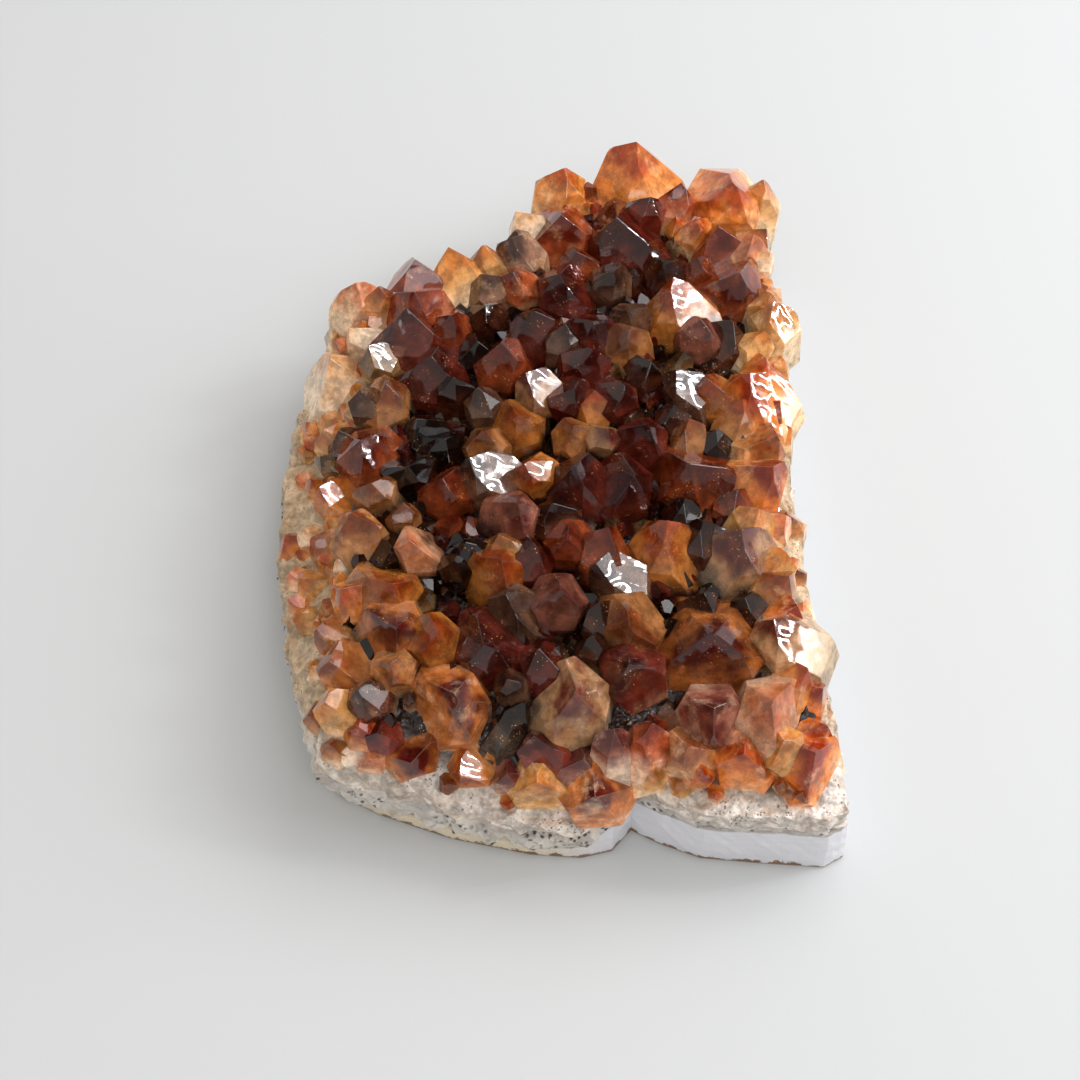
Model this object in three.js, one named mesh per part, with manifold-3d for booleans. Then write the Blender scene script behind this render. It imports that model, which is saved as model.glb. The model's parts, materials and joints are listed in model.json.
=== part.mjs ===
// Citrine cluster: a slab broken from the wall of a geode. A waxy agate rind carries a bed
// of granular quartz, and six-sided citrine points crowd the bed, grown together at the root.
// Millimetres, +Z up, +Y towards the far, narrow end. The origin is on the flat underside.
import * as THREE from "three";
import { mergeVertices } from "three/addons/utils/BufferGeometryUtils.js";
import Module from "manifold-3d";

// Driving dimensions
const BED_HEIGHT = 23; // top of the root crust at its highest place
const BED_HIGH_X = 4; // where the bed's low dome is highest
const DOME_ACROSS = 0.0015; // fall of the dome with the square of the distance, per mm
const DOME_ALONG = 0.0006;
const FRONT_FALL = 10; // how far the bed's top falls to the front edge at the left
const NOTCH_LIFT = 4.6; // how much less it falls right of the notch, over the thick rind
const RIGHT_LIFT = 1.4; // and how much less again at the right front corner
const LEFT_FALL = 6.5; // fall of the bed's top to the left edge
const RIGHT_FALL = 2.5;
const CRUST_THICK = 3; // root crust that joins every crystal
const JOINT_GAP = 0.3; // between two layers
const WALL_TOP = 36; // the raw slab is cut from a taller block
const AGATE_THIN = 2.6; // rind at the left, as a thin cream lip
const AGATE_THICK = 10.4; // rind at the right, as a thick waxy band
const FACET_SLOPE = 1.1; // height of a point's pyramid over its corner radius
const ROOT_DEPTH = 6; // how far a crystal's foot runs into the crust
const FULLNESS = 1.06; // a point's corner radius over that of an even hexagon of its width
const FOOT_SPREAD = 1.25; // a point's foot over its shoulder, where neighbours have grown together
const TIP_SKEW = 0.5; // widest shift of a tip off its axis, over the corner radius
const SHOULDER_STEP = 0.44; // widest difference between a point's shoulders, over the same
const SIDES = 6;
const EVEN_CORNER = 1 / Math.cos(Math.PI / SIDES); // corner radius over half the flat-to-flat width

// The slab's outline on its underside, from the left front corner round by the right
const OUTLINE = [
  [-34.5, -53.2], [-27.5, -57.1], [-16.2, -61.2], [-3.6, -64.0], [4.5, -64.6], [9.3, -63.4],
  [12.4, -59.8], [17, -62.2], [23.2, -64.6], [32.5, -65.5], [42.5, -66.2], [45.6, -64.4],
  [44.6, -50], [42.6, -30], [41.2, -8], [41, 15], [40.2, 35], [39.4, 53.4],
  [34, 55.5], [27, 53.4], [22, 56], [14.5, 63], [7, 59.2], [1, 57.2],
  [-4, 48], [-11, 39.6], [-19.5, 36.8], [-29, 30.4], [-35.4, 27.4], [-36.6, 19],
  [-41, 14], [-42.4, -3], [-41.8, -18], [-39.4, -34], [-36.2, -46],
];
const OUTLINE_STEP = 8; // longest straight run of a broken wall
const ROUGHNESS = 0.55; // how far the broken wall's lumps and pits stand in or out

// How far the left and right walls stand out from the underside's outline, by height
const LEFT_FLARE = [[0, 0], [5, 2.2], [10, 3.6], [15, 2.4], [20, -0.8], [26, -4.2], [36, -6]];
const RIGHT_FLARE = [[0, 0], [10, -0.4], [18, -1.6], [24, -3], [36, -4.4]];

// Crystals as [x, y of the tip, rise over the bed, width across flats, lean, towards].
// Lean is in degrees off upright; towards is a compass in degrees, 0 at +X and 90 at +Y.
const BACK_CRYSTALS = [
  [14.2, 61.3, 10.9, 13, 3, 90], [2.1, 56.7, 8.9, 8.2, 3, 90], [1.9, 43.4, 9.1, 10.5, 10, 255],
  [-6, 47, 7.5, 6.5, 26, 150], [-6.5, 42, 8, 5.5, 15, 160], [-18, 37.5, 8.5, 9, 24, 125],
  [-12, 38.5, 8, 6.5, 18, 110], [-7, 39.5, 9, 7.5, 8, 200], [13.4, 44.5, 10.5, 15, 6, 240],
  [17.5, 50, 9, 6.5, 12, 30], [4.5, 35.5, 8.5, 6.5, 10, 280], [2, 29.5, 9.5, 9.5, 10, 270],
  [10.5, 31.5, 8.5, 6.5, 15, 300], [-11.5, 30.5, 8.5, 6.5, 12, 170], [-7, 30.5, 8.5, 6.5, 10, 250],
  [12.5, 23.5, 8, 6.5, 15, 260], [23, 55, 8, 6.5, 14, 70], [32.4, 53, 10, 12, 13, 290],
  [39.2, 58, 8.6, 6, 22, 60], [38.5, 45, 8, 5.5, 28, 10], [38.4, 39.5, 8, 5.5, 28, 350],
  [29.5, 42, 9, 7.5, 8, 180], [35.8, 41, 9, 7.5, 12, 0], [38.3, 30, 7.5, 5, 30, 0],
  [31, 31.8, 10.5, 11.5, 8, 280], [21.2, 28.6, 10, 11, 21, 111], [38.4, 26, 9, 7.5, 9, 69],
  [25.5, 46.5, 7.5, 6, 10, 120],
];
const LEFT_CRYSTALS = [
  [-34.6, 31.2, 8, 7.8, 10, 140], [-30, 30, 7.5, 4.5, 20, 120], [-23, 35.2, 9, 9.5, 8, 100],
  [-23.8, 28.4, 9.5, 12, 8, 230], [-23.2, 22.4, 10.5, 11.8, 12, 100], [-39.4, 17.6, 8.5, 12.5, 14, 175],
  [-30.3, 15.4, 8.5, 5.8, 18, 185], [-20, 10.8, 10, 10.5, 8, 250], [-28, 6.4, 9.5, 8, 10, 210],
  [-32, 5.5, 8.5, 6.5, 15, 180], [-30.6, -5.4, 9.5, 9.5, 12, 250], [-38.3, -2.6, 7, 5.5, 28, 190],
  [-38.4, 3, 7, 6, 30, 170], [-34.8, -0.5, 7.5, 6, 18, 170], [-37, -10.6, 7, 7, 22, 201],
  [-21.5, -0.4, 7, 6.5, 10, 240], [-18, -4.6, 7, 7, 10, 280], [-23.5, -9.5, 8.5, 7.5, 14, 250],
  [-29.4, -12.6, 8.5, 6.2, 14, 200], [-31.8, -20.4, 9, 7.5, 12, 200], [-26, -25, 7.5, 6, 10, 250],
  [-38.5, -19, 6, 7, 38, 190], [-33, -31.5, 8, 7, 24, 200], [-36.5, -36.5, 5.5, 6, 34, 195],
  [-33, -44.3, 7.5, 8.5, 24, 230], [-24, -16.3, 7, 4.6, 10, 100], [-35, 22.5, 6.5, 6, 30, 170],
];
const MIDDLE_CRYSTALS = [
  [-3, 20.2, 9.5, 7.5, 10, 240], [2, 19.5, 8, 5, 8, 90], [7, 20, 9.5, 7.5, 12, 280],
  [13.4, 17.8, 9, 7.5, 12, 300], [-8.8, 12.8, 10, 8, 12, 200], [-3.6, 7.4, 9.5, 7, 21, 183],
  [3.2, 4.8, 9.5, 7, 12, 300], [7.3, 4.2, 8, 5, 10, 30], [11.4, 4.9, 9, 7.4, 12, 320],
  [-12, 5.5, 8.5, 5.5, 10, 150], [-11.6, -4.8, 9, 6.5, 10, 210], [-5, -0.5, 9.5, 8.5, 10, 250],
  [3, -3, 8.5, 6, 12, 270], [9, -3.5, 8.5, 5.5, 12, 330], [15, -4.4, 9.5, 7.5, 12, 260],
  [-4.3, -11.2, 9, 6.5, 26, 201], [-12.8, -10, 9.5, 9, 21, 182], [4.2, -12.2, 10, 10, 10, 250],
  [12, -13.2, 9.5, 10, 12, 280], [-21.4, -25, 9.5, 7, 12, 300], [-16, -28, 8, 5.5, 12, 260],
  [-6.4, -20.3, 10, 8.5, 14, 250], [-8.5, -24.5, 8.5, 5.5, 14, 150], [-13.3, -25.5, 8, 6.5, 10, 200],
  [-9, -30.2, 9.5, 10, 16, 265], [-3.5, -25.5, 8.5, 6.5, 10, 20], [3, -25, 9, 7, 14, 260],
  [9.4, -24, 10, 7, 14, 40], [7.5, -29.8, 9, 7.5, 29, 205], [-17, -12.5, 8, 8, 12, 220],
  [6.5, 13, 8.5, 7.5, 10, 340], [-16, 8.5, 8, 6, 8, 30], [-16.5, 21.5, 8.5, 7, 10, 320],
  [-11, 24, 7.5, 6, 8, 270], [16, 11.5, 7.5, 6.5, 10, 300],
];
const RIGHT_CRYSTALS = [
  [25, 19, 9, 6.5, 10, 300], [21.2, 8.2, 9.5, 6.4, 21, 136], [26.1, 7.2, 9, 7, 10, 200],
  [32.9, 7.1, 10.6, 10.4, 6, 199], [39.2, 15.5, 7, 5, 26, 20], [36.2, 19, 8, 5.5, 22, 30],
  [22.5, -1.5, 8.5, 5.5, 10, 120], [27, -2.5, 7.5, 6, 10, 60], [36, -2.5, 8.5, 8, 22, 350],
  [22.5, -9.8, 10.5, 13, 12, 230], [35, -9.6, 10, 10, 14, 330], [17.4, -22.8, 10, 10.8, 6, 90],
  [24, -21, 9, 7.5, 10, 100], [32.5, -19, 9.5, 8, 14, 20], [38, -18.5, 7.5, 5.5, 30, 10],
  [29.3, -23.6, 10.5, 11.5, 8, 100], [37, -25.5, 8, 6, 24, 10], [36.5, -30.5, 8.5, 6.5, 22, 350],
  [37.5, -35, 8, 8, 26, 0], [29.5, -35, 7.5, 5.5, 10, 200], [22.7, -34.5, 7.5, 6, 10, 160],
  [33.8, -40.2, 10.5, 10, 9, 172], [38.2, -46.5, 8.5, 6.5, 22, 0], [41, -47.2, 7, 6, 30, 350],
  [30, 20.6, 8, 7, 10, 20], [31, 3.5, 8, 7, 10, 90], [38.2, 5.5, 7, 5.5, 30, 0],
  [29.5, -13.5, 7, 6, 10, 80],
];
const FRONT_CRYSTALS = [
  [-25, -31.8, 9.5, 10, 14, 300], [-24.8, -41.4, 9.5, 9.5, 24, 265], [-18, -42, 9.5, 7.4, 18, 300],
  [-25, -47, 8.5, 6, 16, 250], [-15.6, -53, 10, 11, 24, 260], [-10, -44, 9.5, 11.5, 18, 265],
  [-29.4, -50, 7.5, 5.5, 18, 220], [-34.8, -51.6, 6, 7, 30, 225], [-29, -54, 6.5, 6.5, 30, 245],
  [-26.6, -54.8, 6.8, 5, 22, 260], [-37.8, -49.8, 3.5, 4.8, 40, 215], [-21.8, -57.6, 7.4, 9.2, 36, 262],
  [-28.6, -56.8, 4.6, 6.2, 40, 240], [-8, -36.3, 9, 8, 14, 230], [1.2, -36, 9.5, 8, 14, 280],
  [8, -36, 7.5, 5.5, 8, 60], [6.5, -41.5, 7, 5.5, 8, 120], [13, -41.3, 9.5, 10, 24, 268],
  [11.8, -49, 9, 9, 22, 262], [-1.5, -44.3, 8.5, 7.5, 12, 110], [2.1, -52.1, 10.8, 11.5, 22, 262],
  [-6.6, -49, 8, 4.5, 12, 200], [23.8, -44.6, 10.5, 15, 18, 255], [23, -54, 8.5, 9, 18, 260],
  [34.2, -53.8, 10, 11, 18, 290], [41.4, -54.2, 6, 5.5, 30, 350], [20.6, -58, 8.5, 7.5, 16, 300],
  [23, -60.6, 5.8, 5, 30, 285], [28.2, -60.2, 8, 9, 28, 275], [33.6, -57.8, 8.5, 6.6, 22, 250],
  [40.2, -59.6, 8, 9.5, 24, 300], [14.2, -60.2, 6, 6.8, 30, 280], [5.8, -64.2, 9.4, 10.5, 38, 268],
  [-2.4, -62.9, 8.6, 8.6, 38, 262], [4.4, -58.8, 8.5, 8.5, 16, 280], [-3, -56.8, 8.5, 6.5, 16, 220],
  [-0.4, -58.2, 6.6, 4.2, 22, 270], [-7.6, -59.4, 6.4, 4.5, 24, 250], [9, -55.4, 7.8, 5.5, 12, 80],
  [15.4, -56, 8, 6, 14, 30], [-13.6, -59.6, 6.6, 7.2, 43, 248],
];

// Smaller crystals in the gaps between the others
const SPARE_CRYSTALS = [
  [19.3, 35, 7.5, 7, 10, 250], [-13, 16.4, 7.5, 6.5, 8, 300], [20.2, 1.8, 7.5, 5.5, 8, 60],
  [35.5, 13.8, 7.5, 6, 14, 20], [0.5, -19, 8, 7, 8, 260], [20.8, -16.6, 7.5, 5.5, 10, 100],
  [25.3, 36.5, 7.5, 5.5, 10, 200], [-41, -24.5, 4.5, 5.5, 42, 188],
];

const CRYSTALS = [
  ...BACK_CRYSTALS, ...LEFT_CRYSTALS, ...MIDDLE_CRYSTALS,
  ...RIGHT_CRYSTALS, ...FRONT_CRYSTALS, ...SPARE_CRYSTALS,
];

// Way that one face looks, in degrees about the axis, for the crystals that show a face whole
const FACE_TURNS = new Map([
  [25, 311], [26, 319], [34, 339], [42, 349], [60, 339], [70, 350],
  [71, 341], [83, 356], [91, 321], [93, 332], [111, 338], [158, 30],
]);

const COLOURS = {
  agate_base: { color: 0xcfcdd2, roughness: 0.42 },
  quartz_bed: { color: 0xb5a795, roughness: 0.78 },
  citrine_crystals: { color: 0x9a5224, roughness: 0.16 },
};

const wasm = await Module();
wasm.setup();

// Helpers
const clamp01 = (t) => Math.min(1, Math.max(0, t));

function ease(from, to, value) {
  const t = clamp01((value - from) / (to - from));
  return t * t * (3 - 2 * t);
}

// A repeatable number from 0 to 1 for the crystal and the trait asked for
function chance(index, trait) {
  const wave = Math.sin(index * 127.1 + trait * 311.7) * 43758.5453;
  return wave - Math.floor(wave);
}

function alongTable(table, at) {
  const next = table.findIndex(([key]) => key >= at);
  if (next <= 0) return table[Math.max(next, 0)][1];
  const [lowKey, low] = table[next - 1];
  const [highKey, high] = table[next];
  return low + ((high - low) * (at - lowKey)) / (highKey - lowKey);
}

// A closed solid from a three.js geometry, its shared corners merged
function solidOf(geometry) {
  const bare = new THREE.BufferGeometry();
  bare.setAttribute("position", geometry.getAttribute("position"));
  bare.setIndex(geometry.index);
  const merged = mergeVertices(bare, 1e-4);
  const corners = [];
  for (let i = 0; i < merged.index.count; i += 3) {
    const [a, b, c] = [merged.index.getX(i), merged.index.getX(i + 1), merged.index.getX(i + 2)];
    if (a !== b && b !== c && c !== a) corners.push(a, b, c);
  }
  return new wasm.Manifold(new wasm.Mesh({
    numProp: 3,
    vertProperties: new Float32Array(merged.getAttribute("position").array),
    triVerts: new Uint32Array(corners),
  }));
}

function geometryOf(solid) {
  const mesh = solid.getMesh();
  const geometry = new THREE.BufferGeometry();
  geometry.setAttribute("position", new THREE.BufferAttribute(new Float32Array(mesh.vertProperties), 3));
  geometry.setIndex(new THREE.BufferAttribute(new Uint32Array(mesh.triVerts), 1));
  geometry.computeVertexNormals();
  return geometry;
}

function joined(solids) {
  let row = solids;
  while (row.length > 1) {
    const half = [];
    for (let i = 0; i < row.length; i += 2) half.push(row[i + 1] ? row[i].add(row[i + 1]) : row[i]);
    row = half;
  }
  return row[0];
}

// Top of the root crust: a low dome that falls away at the front and left rims
function bedTop(x, y) {
  const dome = BED_HEIGHT - DOME_ACROSS * (x - BED_HIGH_X) ** 2 - DOME_ALONG * y ** 2;
  const frontDrop = FRONT_FALL - NOTCH_LIFT * ease(3, 14, x) - RIGHT_LIFT * ease(20, 40, x);
  const frontRim = frontDrop * ease(-49, -63, y);
  const leftRim = LEFT_FALL * ease(-32, -44, x);
  const rightRim = RIGHT_FALL * ease(35, 42, x);
  return dome - Math.max(frontRim, leftRim, rightRim);
}

// Top of the agate rind: a thin lip on the left that thickens to a band on the right
function agateTop(x) {
  return AGATE_THIN + (AGATE_THICK - AGATE_THIN) * ease(2, 13, x);
}

// Everything under a surface, wide enough to cut the whole slab, in that many strips each way
function under(surface, across = 8, along = 12) {
  const box = new THREE.BoxGeometry(112, 150, 40, across, along, 1);
  const place = box.getAttribute("position");
  for (let i = 0; i < place.count; i += 1) {
    const top = place.getZ(i) > 0;
    place.setZ(i, top ? surface(place.getX(i), place.getY(i)) : -5);
  }
  return solidOf(box);
}

// The outline with long runs broken into short ones
function brokenOutline() {
  const points = [];
  OUTLINE.forEach(([x, y], i) => {
    const [nextX, nextY] = OUTLINE[(i + 1) % OUTLINE.length];
    const runs = Math.ceil(Math.hypot(nextX - x, nextY - y) / OUTLINE_STEP);
    for (let k = 0; k < runs; k += 1) {
      points.push(new THREE.Vector2(x + ((nextX - x) * k) / runs, y + ((nextY - y) * k) / runs));
    }
  });
  return points;
}

// The whole slab as one block with flared, lumpy broken walls and a flat underside
function slabBlock() {
  const levels = 6;
  const block = new THREE.ExtrudeGeometry(new THREE.Shape(brokenOutline()), {
    depth: WALL_TOP, steps: levels, bevelEnabled: false,
  });
  const place = block.getAttribute("position");
  for (let i = 0; i < place.count; i += 1) {
    const [x, y, z] = [place.getX(i), place.getY(i), place.getZ(i)];
    const flare = alongTable(LEFT_FLARE, z) * ease(-20, -38, x)
      + alongTable(RIGHT_FLARE, z) * ease(26, 40, x);
    const lump = Math.sin(1.7 * x + 0.9 * z) * Math.cos(1.3 * y - 1.1 * z)
      + 0.6 * Math.sin(0.6 * x - 0.8 * y + 0.7 * z);
    const out = flare + ROUGHNESS * lump * ease(0, 2, z);
    const reach = Math.hypot(x, 0.6 * y) || 1;
    place.setX(i, x + (out * x) / reach);
    place.setY(i, y + (out * 0.6 * y) / reach);
  }
  return solidOf(block);
}

// One point: a hexagonal prism under a pyramid of six faces, no two the same height
function crystal([x, y, rise, across, lean, towards], index) {
  const radius = (across / 2) * EVEN_CORNER * FULLNESS;
  const slant = THREE.MathUtils.degToRad(lean);
  const length = (rise + ROOT_DEPTH) / Math.cos(slant);
  const shoulder = -FACET_SLOPE * radius;
  const foot = radius * FOOT_SPREAD;
  const profile = [[0, -length], [foot, -length], [radius, shoulder], [0, 0]];
  const turned = new THREE.LatheGeometry(profile.map(([r, h]) => new THREE.Vector2(r, h)), SIDES);
  const skewX = (chance(index, 1) - 0.5) * TIP_SKEW * radius;
  const skewY = (chance(index, 2) - 0.5) * TIP_SKEW * radius;
  const place = turned.getAttribute("position");
  for (let i = 0; i < place.count; i += 1) {
    const isFoot = place.getY(i) < shoulder - 1e-3;
    const isTip = place.getY(i) > -1e-3;
    const around = (Math.atan2(place.getX(i), place.getZ(i)) / (2 * Math.PI)) * SIDES;
    const side = Math.round(around + SIDES) % SIDES;
    const uneven = (chance(index, 10 + side) - 0.5) * SHOULDER_STEP * radius;
    if (!isFoot && !isTip) place.setY(i, place.getY(i) + uneven);
    if (!isTip) {
      place.setX(i, place.getX(i) - skewX);
      place.setZ(i, place.getZ(i) - skewY);
    }
  }
  turned.rotateX(Math.PI / 2);
  const turn = FACE_TURNS.get(index) ?? chance(index, 3) * 360;
  turned.rotateZ(THREE.MathUtils.degToRad(turn));
  const compass = THREE.MathUtils.degToRad(towards);
  const hinge = new THREE.Vector3(-Math.sin(compass), Math.cos(compass), 0);
  turned.applyMatrix4(new THREE.Matrix4().makeRotationAxis(hinge, slant));
  turned.translate(x, y, bedTop(x, y) + rise);
  return solidOf(turned);
}

// The three layers of the slab
function agateBase(block) {
  return block.intersect(under((x) => agateTop(x), 12, 1));
}

function quartzBed(block) {
  const above = block.subtract(under((x) => agateTop(x) + JOINT_GAP, 12, 1));
  return above.intersect(under((x, y) => bedTop(x, y) - CRUST_THICK - JOINT_GAP));
}

function citrineCrystals(block) {
  const crust = block.intersect(under(bedTop));
  const points = joined(CRYSTALS.map(crystal));
  return crust.add(points).subtract(under((x, y) => bedTop(x, y) - CRUST_THICK));
}

const block = slabBlock();
const cluster = new THREE.Group();
const solids = {
  agate_base: agateBase(block),
  quartz_bed: quartzBed(block),
  citrine_crystals: citrineCrystals(block),
};
for (const [name, solid] of Object.entries(solids)) {
  const finish = new THREE.MeshStandardMaterial({ metalness: 0, ...COLOURS[name] });
  const mesh = new THREE.Mesh(geometryOf(solid), finish);
  mesh.name = name;
  cluster.add(mesh);
}

export default cluster;
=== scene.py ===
"""A citrine cluster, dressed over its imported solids: a crust of quartz points on a slab of geode wall.

The points, the small crystals between them and the root crust are joined in one closed clear solid.
Under it lie the granular quartz bed and the waxy agate rind. Lengths are in millimetres in the lists
and in metres in every mesh.
"""

import logging
import math
import random
from collections.abc import Callable
from dataclasses import dataclass, field
from enum import Enum, IntEnum

import bmesh
import bpy
from mathutils import Matrix, Vector, noise
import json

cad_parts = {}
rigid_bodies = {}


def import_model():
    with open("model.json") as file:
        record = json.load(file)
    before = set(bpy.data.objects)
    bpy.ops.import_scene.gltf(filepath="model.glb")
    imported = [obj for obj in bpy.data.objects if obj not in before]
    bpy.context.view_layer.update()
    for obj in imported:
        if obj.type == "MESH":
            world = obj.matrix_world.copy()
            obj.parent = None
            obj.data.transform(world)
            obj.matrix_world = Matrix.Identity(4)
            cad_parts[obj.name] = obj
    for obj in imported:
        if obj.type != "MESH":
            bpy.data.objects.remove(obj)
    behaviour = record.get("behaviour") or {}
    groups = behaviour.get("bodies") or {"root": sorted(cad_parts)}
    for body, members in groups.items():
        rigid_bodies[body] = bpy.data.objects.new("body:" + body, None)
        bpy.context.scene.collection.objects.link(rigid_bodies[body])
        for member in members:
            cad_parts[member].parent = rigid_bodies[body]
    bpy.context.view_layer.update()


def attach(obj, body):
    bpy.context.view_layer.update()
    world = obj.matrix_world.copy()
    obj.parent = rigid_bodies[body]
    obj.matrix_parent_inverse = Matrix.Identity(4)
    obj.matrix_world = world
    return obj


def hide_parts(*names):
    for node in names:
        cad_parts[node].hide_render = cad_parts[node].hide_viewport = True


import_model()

LOG = logging.getLogger("citrine_cluster")
MM = 0.001
MERGE = 1e-6
SIDES = 6
SIDE_TURN = 360 / SIDES
HEX_CORNER = 1 / math.cos(math.pi / SIDES)
FIRST_SMALL = 1000  # number of the first small crystal
CUTTER_SIZE = (112.0, 150.0, -5.0)  # width and length of a cutting solid, and its floor
BUMPS_PER_MM = 0.45
PIT_LAYERS = (0.7, 2.0, 3)  # how a wall's pits fade, narrow and stack
CHANCE_WAVES = (127.1, 311.7, 43758.5453)  # spreads a point's number and trait over 0 to 1

Pair = tuple[float, float]
Colour = tuple[float, float, float]
Socket = bpy.types.NodeSocket
Value = Socket | float | Colour


class Tint(Enum):
    """The colour that a point has inside."""

    HONEY = "pale gold"
    AMBER = "orange gold"
    ORANGE = "bright orange with a dark core"
    EMBER = "dark red core in an amber body"
    PEACH = "milky peach"
    MILKY = "cloudy cream"
    TAN = "honey brown"
    VEILED = "brown tip over a cloudy body"
    RUST = "rust red"
    GARNET = "dark red"
    # The lilac bloom is a painted sheen of the sky on brown quartz
    MAUVE = "brown with a lilac bloom"
    SMOKY = "smoky grey brown"
    OLIVE = "smoky olive"
    BROWN = "dark brown"
    BLACK = "nearly black"


HONEY, AMBER, ORANGE, EMBER = Tint.HONEY, Tint.AMBER, Tint.ORANGE, Tint.EMBER
PEACH, MILKY = Tint.PEACH, Tint.MILKY
TAN, VEILED, RUST, GARNET, MAUVE = Tint.TAN, Tint.VEILED, Tint.RUST, Tint.GARNET, Tint.MAUVE
SMOKY, OLIVE, BROWN, BLACK = Tint.SMOKY, Tint.OLIVE, Tint.BROWN, Tint.BLACK

# The slab's outline on its underside, from the left front corner round by the right
OUTLINE = (
    (-34.5, -53.2), (-27.5, -57.1), (-16.2, -61.2), (-3.6, -64.0), (4.5, -64.6), (9.3, -63.4),
    (12.4, -59.8), (17, -62.2), (23.2, -64.6), (32.5, -65.5), (42.5, -66.2), (45.6, -64.4),
    (44.6, -50), (42.6, -30), (41.2, -8), (41, 15), (40.2, 35), (39.4, 53.4),
    (34, 55.5), (27, 53.4), (22, 56), (14.5, 63), (7, 59.2), (1, 57.2),
    (-4, 48), (-11, 39.6), (-19.5, 36.8), (-29, 30.4), (-35.4, 27.4), (-36.6, 19),
    (-41, 14), (-42.4, -3), (-41.8, -18), (-39.4, -34), (-36.2, -46),
)
# How far the left and right walls stand out from that outline, by height
LEFT_FLARE = ((0, 0), (5, 2.2), (10, 3.6), (15, 2.4), (20, -0.8), (26, -4.2), (36, -6))
RIGHT_FLARE = ((0, 0), (10, -0.4), (18, -1.6), (24, -3), (36, -4.4))

# Points as (x, y of the tip, rise over the bed, width across flats, lean, towards, tint)
BACK_POINTS = (
    (14.2, 61.3, 10.9, 13, 3, 90, AMBER), (2.1, 56.7, 8.9, 8.2, 3, 90, AMBER),
    (1.9, 43.4, 9.1, 10.5, 10, 255, RUST), (-6, 47, 7.5, 6.5, 26, 150, MILKY),
    (-6.5, 42, 8, 5.5, 15, 160, SMOKY), (-18, 37.5, 8.5, 9, 24, 125, HONEY),
    (-12, 38.5, 8, 6.5, 18, 110, HONEY), (-7, 39.5, 9, 7.5, 8, 200, SMOKY),
    (13.4, 44.5, 10.5, 15, 6, 240, GARNET), (17.5, 50, 9, 6.5, 12, 30, GARNET),
    (4.5, 35.5, 8.5, 6.5, 10, 280, RUST), (2, 29.5, 9.5, 9.5, 10, 270, GARNET),
    (10.5, 31.5, 8.5, 6.5, 15, 300, SMOKY), (-11.5, 30.5, 8.5, 6.5, 12, 170, SMOKY),
    (-7, 30.5, 8.5, 6.5, 10, 250, RUST), (12.5, 23.5, 8, 6.5, 15, 260, SMOKY),
    (23, 55, 8, 6.5, 14, 70, RUST), (32.4, 53, 10, 12, 13, 290, AMBER), (39.2, 58, 8.6, 6, 22, 60, HONEY),
    (38.5, 45, 8, 5.5, 28, 10, TAN), (38.4, 39.5, 8, 5.5, 28, 350, MILKY),
    (29.5, 42, 9, 7.5, 8, 180, RUST), (35.8, 41, 9, 7.5, 12, 0, PEACH), (38.3, 30, 7.5, 5, 30, 0, HONEY),
    (31, 31.8, 10.5, 11.5, 8, 280, RUST), (21.2, 28.6, 10, 11, 21, 111, AMBER),
    (38.4, 26, 9, 7.5, 9, 69, HONEY), (25.5, 46.5, 7.5, 6, 10, 120, AMBER),
)
LEFT_POINTS = (
    (-34.6, 31.2, 8, 7.8, 10, 140, PEACH), (-30, 30, 7.5, 4.5, 20, 120, TAN),
    (-23, 35.2, 9, 9.5, 8, 100, RUST), (-23.8, 28.4, 9.5, 12, 8, 230, RUST),
    (-23.2, 22.4, 10.5, 11.8, 12, 100, GARNET), (-39.4, 17.6, 8.5, 12.5, 14, 175, MILKY),
    (-30.3, 15.4, 8.5, 5.8, 18, 185, OLIVE), (-20, 10.8, 10, 10.5, 8, 250, GARNET),
    (-28, 6.4, 9.5, 8, 10, 210, TAN), (-32, 5.5, 8.5, 6.5, 15, 180, SMOKY),
    (-30.6, -5.4, 9.5, 9.5, 12, 250, RUST), (-38.3, -2.6, 7, 5.5, 28, 190, OLIVE),
    (-38.4, 3, 7, 6, 30, 170, HONEY), (-34.8, -0.5, 7.5, 6, 18, 170, BROWN),
    (-37, -10.6, 7, 7, 22, 201, AMBER), (-21.5, -0.4, 7, 6.5, 10, 240, BLACK),
    (-18, -4.6, 7, 7, 10, 280, BLACK), (-23.5, -9.5, 8.5, 7.5, 14, 250, BLACK),
    (-29.4, -12.6, 8.5, 6.2, 14, 200, TAN), (-31.8, -20.4, 9, 7.5, 12, 200, TAN),
    (-26, -25, 7.5, 6, 10, 250, BLACK), (-38.5, -19, 6, 7, 38, 190, TAN),
    (-33, -31.5, 8, 7, 24, 200, AMBER), (-36.5, -36.5, 5.5, 6, 34, 195, TAN),
    (-33, -44.3, 7.5, 8.5, 24, 230, TAN), (-24, -16.3, 7, 4.6, 10, 100, TAN),
    (-35, 22.5, 6.5, 6, 30, 170, MILKY),
)
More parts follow.
